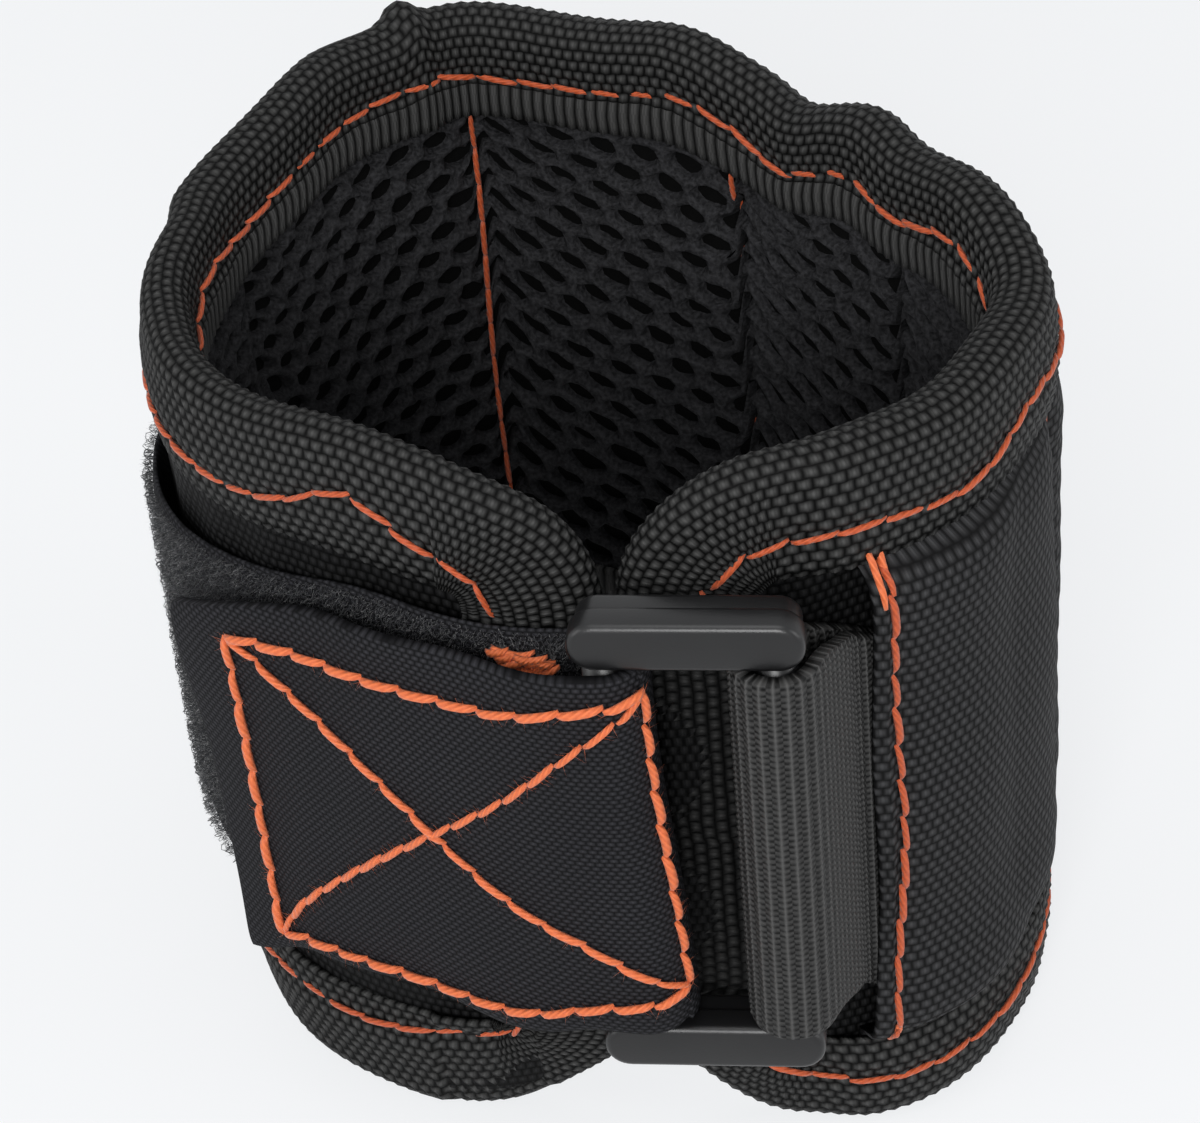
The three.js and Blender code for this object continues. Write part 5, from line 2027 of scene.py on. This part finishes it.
# %% Bar tacks
TACK_PLAY = 0.15
TACK_FAN = 0.2
TACK_STEPS = 12
TANGLE_THREADS = 22
TANGLE_S = -100.2
TANGLE_Z = 59.4
TANGLE_HALF = (1.9, 1.1)
TANGLE_LIFT = np.array([0, -0.0005, 0.0002])
TANGLE_PITCH = 4
TANGLE_TURN = 0.7
TANGLE_REACH = (0.7, 1.4)
TANGLE_STEPS = 10
STRAP_THREAD_SINK = 0.2
chance = np.random.default_rng(11)


def tack(place_at, middle, size, count):
    """A few stitches laid over each other round a point of a face."""
    rows = []
    for k in range(count):
        lean = (k - (count - 1) / 2) / max(count - 1, 1)
        a = middle[0] + size[0] * lean + chance.uniform(-TACK_PLAY, TACK_PLAY)
        b = middle[1] + np.linspace(-0.5, 0.5, TACK_STEPS) * size[1]
        a = a + lean * TACK_FAN * np.linspace(-1, 1, TACK_STEPS)
        rows.append(stitch_row(place_at(a, b), normal_of(place_at, a, b), size[1], BOLD))
    return rows


def strap_at(s, z):
    """A point in the strap's pile."""
    return place(s, strap_inner(s) + STRAP_THICKNESS - STRAP_THREAD_SINK, z)


right_tacks = tack(panel_at, (SEAM_RIGHT + 0.4, SEAM_HIGH - 0.8), (0.75, 4.6), 2)
right_tacks += tack(panel_at, (SEAM_RIGHT + 0.8, SEAM_LOW + 1.2), (0.3, 4), 2)
seam_tacks = sewn_piece("seam_tacks", right_tacks, 7)
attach(seam_tacks, "band_right")

half_s, half_z = TANGLE_HALF
tangle = []
for _ in range(TANGLE_THREADS):
    heading = chance.uniform(-TANGLE_TURN, TANGLE_TURN)
    reach = np.linspace(-1, 1, TANGLE_STEPS) * chance.uniform(*TANGLE_REACH)
    a = TANGLE_S + chance.uniform(-half_s, half_s) + reach * math.cos(heading)
    b = TANGLE_Z + chance.uniform(-half_z, half_z) + reach * math.sin(heading)
    lift = TANGLE_LIFT * chance.uniform(0, 2)
    tangle.append(stitch_row(strap_at(a, b) + lift, normal_of(strap_at, a, b), TANGLE_PITCH, BOLD))
strap_tack = sewn_piece("strap_tack", tangle, 9)
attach(strap_tack, "band_left")
report(seam_tacks, strap_tack)

# %% [markdown]
# ## Loop pile and hooks
# The loop side of the strap is a dense pile of fine loops, with loose fibres between them. A geometry
# tree scatters a small arch or a hair over the strap's outer face, each turned its own way. The tab's
# hook pad is a plate with rows of tiny hooks that face the pile.

# %% A loop and a hair
LOOP_RADIUS = (0.36, 0.42)
LOOP_MIDDLE = 0.4
LOOP_YARN = 0.035
LOOP_RINGS = 5
LOOP_SIDES = 3
HAIR_YARN = 0.022
HAIR_TIP = (0.25, 0, 0.95)


def pile_arch():
    """One loop of yarn, as a bent tube of few faces, about 0.8 millimetres high."""
    turn = np.linspace(-0.2 * math.pi, 1.2 * math.pi, LOOP_RINGS)[:, None]
    side = np.linspace(0, 2 * math.pi, LOOP_SIDES, endpoint=False)
    wide, high = LOOP_RADIUS
    x = wide * np.cos(turn) + LOOP_YARN * np.cos(turn) * np.cos(side)
    z = LOOP_MIDDLE + high * np.sin(turn) + LOOP_YARN * np.sin(turn) * np.cos(side)
    points = rows_of(x, LOOP_YARN * np.sin(side), z)
    faces = grid_faces(LOOP_RINGS, LOOP_SIDES, wrap_columns=True)
    return mesh_piece("pile_arch", points, faces, PILE_YARN)


def pile_hair():
    """One loose fibre, as a long thin spike of four faces."""
    turn = np.linspace(0, 2 * math.pi, 3, endpoint=False)
    foot = HAIR_YARN * rows_of(np.cos(turn), np.sin(turn), 0)
    faces = [(2, 1, 0), (0, 1, 3), (1, 2, 3), (2, 0, 3)]
    return mesh_piece("pile_hair", [*foot, HAIR_TIP], faces, PILE_YARN)


arch = pile_arch()
hair = pile_hair()
report(arch, hair)

# %% Loop pile
PILE_TURN = (0.7, 0.7, 3.1)
PILE_SIZES = (0.5, 1.15)
PILE_DENSITY = 3
HAIR_DENSITY = 10
COVERED_SHARE = 0.2
PAST_TAB = -70
ABOVE_TAB = 14


def pile_tree(model):
    """Copies of a loop or a hair, scattered over a face and turned at random."""
    tree, given, leave = geometry_tree("loop_pile", "Density", "Size", "Seed")
    shape = given["Geometry"]
    seed = {"Seed": given["Seed"]}
    density = given["Density"] * carried(shape, "shows", "FLOAT")
    points = shape.node("GeometryNodeDistributePointsOnFaces", {"Mesh": shape, "Density": density, **seed})
    values = {0: tuple(-part for part in PILE_TURN), 1: PILE_TURN, **seed}
    lean = shape.node("FunctionNodeRandomValue", values, data_type="FLOAT_VECTOR")
    turns = {0: points.beside("Rotation"), 1: shape.node("FunctionNodeEulerToRotation", {0: lean})}
    turn = shape.node("FunctionNodeRotateRotation", turns, rotation_space="LOCAL")
    values = {2: PILE_SIZES[0], 3: PILE_SIZES[1], **seed}
    size = shape.node("FunctionNodeRandomValue", values, out=1, data_type="FLOAT") * given["Size"]
    planted(leave, points, model, turn, size, PILE_YARN)
    return tree


def strap_cover(name, model, density, seed):
    """Pile on the strap's outer face, thin where the tab covers it."""
    ground = mesh_piece(name, place(strap_s, pile_foot, strap_z), grid_faces(*strap_s.shape), PILE_YARN)
    shows = np.where((strap_s > PAST_TAB) | (strap_across > ABOVE_TAB), 1, COVERED_SHARE)
    carry(ground, "shows", shows.ravel())
    sizes = {"Density": density / MM**2, "Size": MM, "Seed": seed}
    made = grown(ground, pile_tree(model), sizes, name)
    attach(made, "band_left")
    return made


pile = strap_cover("strap_pile", arch, PILE_DENSITY, 4)
fuzz = strap_cover("strap_fuzz", hair, HAIR_DENSITY, 9)
report(pile, fuzz)

# %% Hook pad
HOOK_WIDTH = 36
HOOK_FROM = BAR_S + 17
HOOK_TO = TAB_TIP - 3
PLATE = 0.45
PLATE_SHARE = 0.97
PAD_TOP = -STRAP_THICKNESS / 2 - CLEARANCE
PAD_COLUMNS = 30
PAD_ROWS = 40


def pad_height(length, share):
    """The height at a share of the pad's width, along the middle of the tab."""
    middle = (tab_height(length, 0) + tab_height(length, 1)) / 2
    return middle + HOOK_WIDTH * PLATE_SHARE * (share - 0.5)


pad_l, pad_share = np.meshgrid(
    np.linspace(HOOK_FROM, HOOK_TO, PAD_COLUMNS), np.linspace(0, 1, PAD_ROWS)
)
pad = shell(
    "hook_pad_plate",
    on_tab(pad_l, pad_share, PAD_TOP, pad_height),
    on_tab(pad_l, pad_share, PAD_TOP - PLATE, pad_height),
    HOOK_PLASTIC,
    pad_l,
    pad_height(pad_l, pad_share),
)
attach(pad, "tab")
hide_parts("hook_pad")
report(pad)

# %% Hooks
HOOK_PITCH = 1.5
HOOK_ROWS = 24
FIRST_HOOK = HOOK_FROM + 0.8
LAST_HOOK = HOOK_TO - 0.5
HOOK_SHARES = (0.03, 0.97)
HOOK_SIDES = 5
HOOK_STEM = [(0, 0, 0.16), (0, 0.3, 0.12), (0.1, 0.48, 0.11), (0.28, 0.52, 0.1), (0.4, 0.4, 0.05)]


def hook_shape():
    """One moulded hook: a stem that bends over, half a millimetre high."""
    x, height, radius = (column[:, None] for column in np.array(HOOK_STEM).T)
    turn = np.arange(HOOK_SIDES) * 2 * math.pi / HOOK_SIDES
    points = rows_of(x + radius * np.cos(turn), radius * np.sin(turn), height)
    count = len(HOOK_STEM)
    faces = grid_faces(count, HOOK_SIDES, wrap_columns=True)
    faces.append(tuple(range((count - 1) * HOOK_SIDES, count * HOOK_SIDES)))
    return facing_out(mesh_piece("hook_shape", points, faces, HOOK_PLASTIC))


def upright_tree(model, finish):
    """A copy of a model on each point, all of one size."""
    tree, given, leave = geometry_tree("upright_rows", "Size")
    shape = given["Geometry"]
    planted(leave, shape, model, turned_along(shape), given["Size"], finish)
    return tree


def pad_at(length, share):
    """A point on the side of the plate that faces the pile."""
    return on_tab(length, share, PAD_TOP - PLATE, pad_height)


hook_grid = np.meshgrid(
    np.arange(FIRST_HOOK, LAST_HOOK, HOOK_PITCH), np.linspace(*HOOK_SHARES, HOOK_ROWS)
)
hook_l, hook_share = (grid.ravel() for grid in hook_grid)
hook_points = pad_at(hook_l, hook_share)
hook_out = hook_points - folded(hook_l, PAD_TOP + tab_buckle(hook_l, hook_share), 0)
hook_out[:, 2] = 0
hook_along = unit(pad_at(hook_l + 0.5, hook_share) - pad_at(hook_l - 0.5, hook_share))
hook = hook_shape()
hook_seed = points_piece("hook_points", hook_points, along=hook_along, out=unit(hook_out))
hooks = grown(hook_seed, upright_tree(hook, HOOK_PLASTIC), {"Size": MM}, "hook_pad_hooks")
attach(hooks, "tab")
report(hooks)

# %% [markdown]
# ## Lint
# The coarse thread on the tab has shed fibres where it was drawn through the tape. Each is a thin
# spike that lies along the cloth in a random direction beside a stitch and lifts off at its tip.

# %% Lint on the tab's thread
LINT_PER_STITCH = 9
LINT_HALF = 0.014
LINT_FOOT = 0.2
LINT_TIP = (1.3, 0, 0.5)


def lint_shape():
    """One stray fibre."""
    foot = [(0, -LINT_HALF, LINT_FOOT), (0, LINT_HALF, LINT_FOOT), (0, 0, LINT_FOOT + 0.02)]
    faces = [(0, 1, 2), (1, 0, 3), (2, 1, 3), (0, 2, 3)]
    return mesh_piece("lint_shape", [*foot, LINT_TIP], faces, ORANGE_THREAD)


sewn_at, sewn_along, sewn_out = (
    np.repeat(np.concatenate([row[key] for row in tab_rows]), LINT_PER_STITCH, axis=0)
    for key in ("at", "along", "out")
)
stray = np.random.default_rng(17)
heading = stray.uniform(0, 2 * math.pi, (len(sewn_at), 1))
lint_along = np.cos(heading) * sewn_along + np.sin(heading) * np.cross(sewn_out, sewn_along)
lint_at = sewn_at + sewn_along * stray.uniform(-0.5, 0.5, heading.shape) * BOX_PITCH * MM
lint_seed = points_piece("lint_points", lint_at, along=lint_along, out=sewn_out)
fibre = lint_shape()
lint = grown(lint_seed, upright_tree(fibre, ORANGE_THREAD), {"Size": MM}, "tab_lint")
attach(lint, "tab")
report(lint)

# %% [markdown]
# ## Sheets
# Each length of cloth and tape was cut flat before it was sewn. The sizes it was cut to are listed
# here and printed.

# %% Sheets
TAPE_WIDTH = 22.5
TAB_CUT_LENGTH = 48
layer_height = BAND_HEIGHT - 2 * LAYER_INSET
strap_length = SEAM_LEFT + STRAP_TUCK - BAR_S
cuts = [
    (backing, layer_height, RIGHT_END - LEFT_END - 2 * LAYER_INSET, "laid", net, []),
    (panel, layer_height, PANEL_RIGHT_EDGE - PANEL_LEFT_EDGE, "stretched", backing, []),
    (binding, TAPE_WIDTH, EDGE_ROUND, "folded", backing, [band_stitches]),
    (strap, STRAP_WIDTH, strap_length, "laid", backing, [bend, pile, fuzz, strap_tack]),
    (tab, STRAP_WIDTH, TAB_CUT_LENGTH, "laid", pad, [tab_stitches, lint]),
    (pad, HOOK_WIDTH, HOOK_TO - HOOK_FROM, "laid", strap, [hooks]),
    (elastic, ELASTIC_WIDTH, ELASTIC_LENGTH, "stretched", ring, []),
]
for piece, width, length, held, under, sewn_on in cuts:
    print(piece.name, round(width, 1), "by", round(length, 1), "mm")

# %% [markdown]
# ## Closing
# The small shapes that were copied are no pieces of the object, so they are removed.

# %% Finish
for spare in (bean, arch, hair, hook, fibre):
    bpy.data.objects.remove(spare)
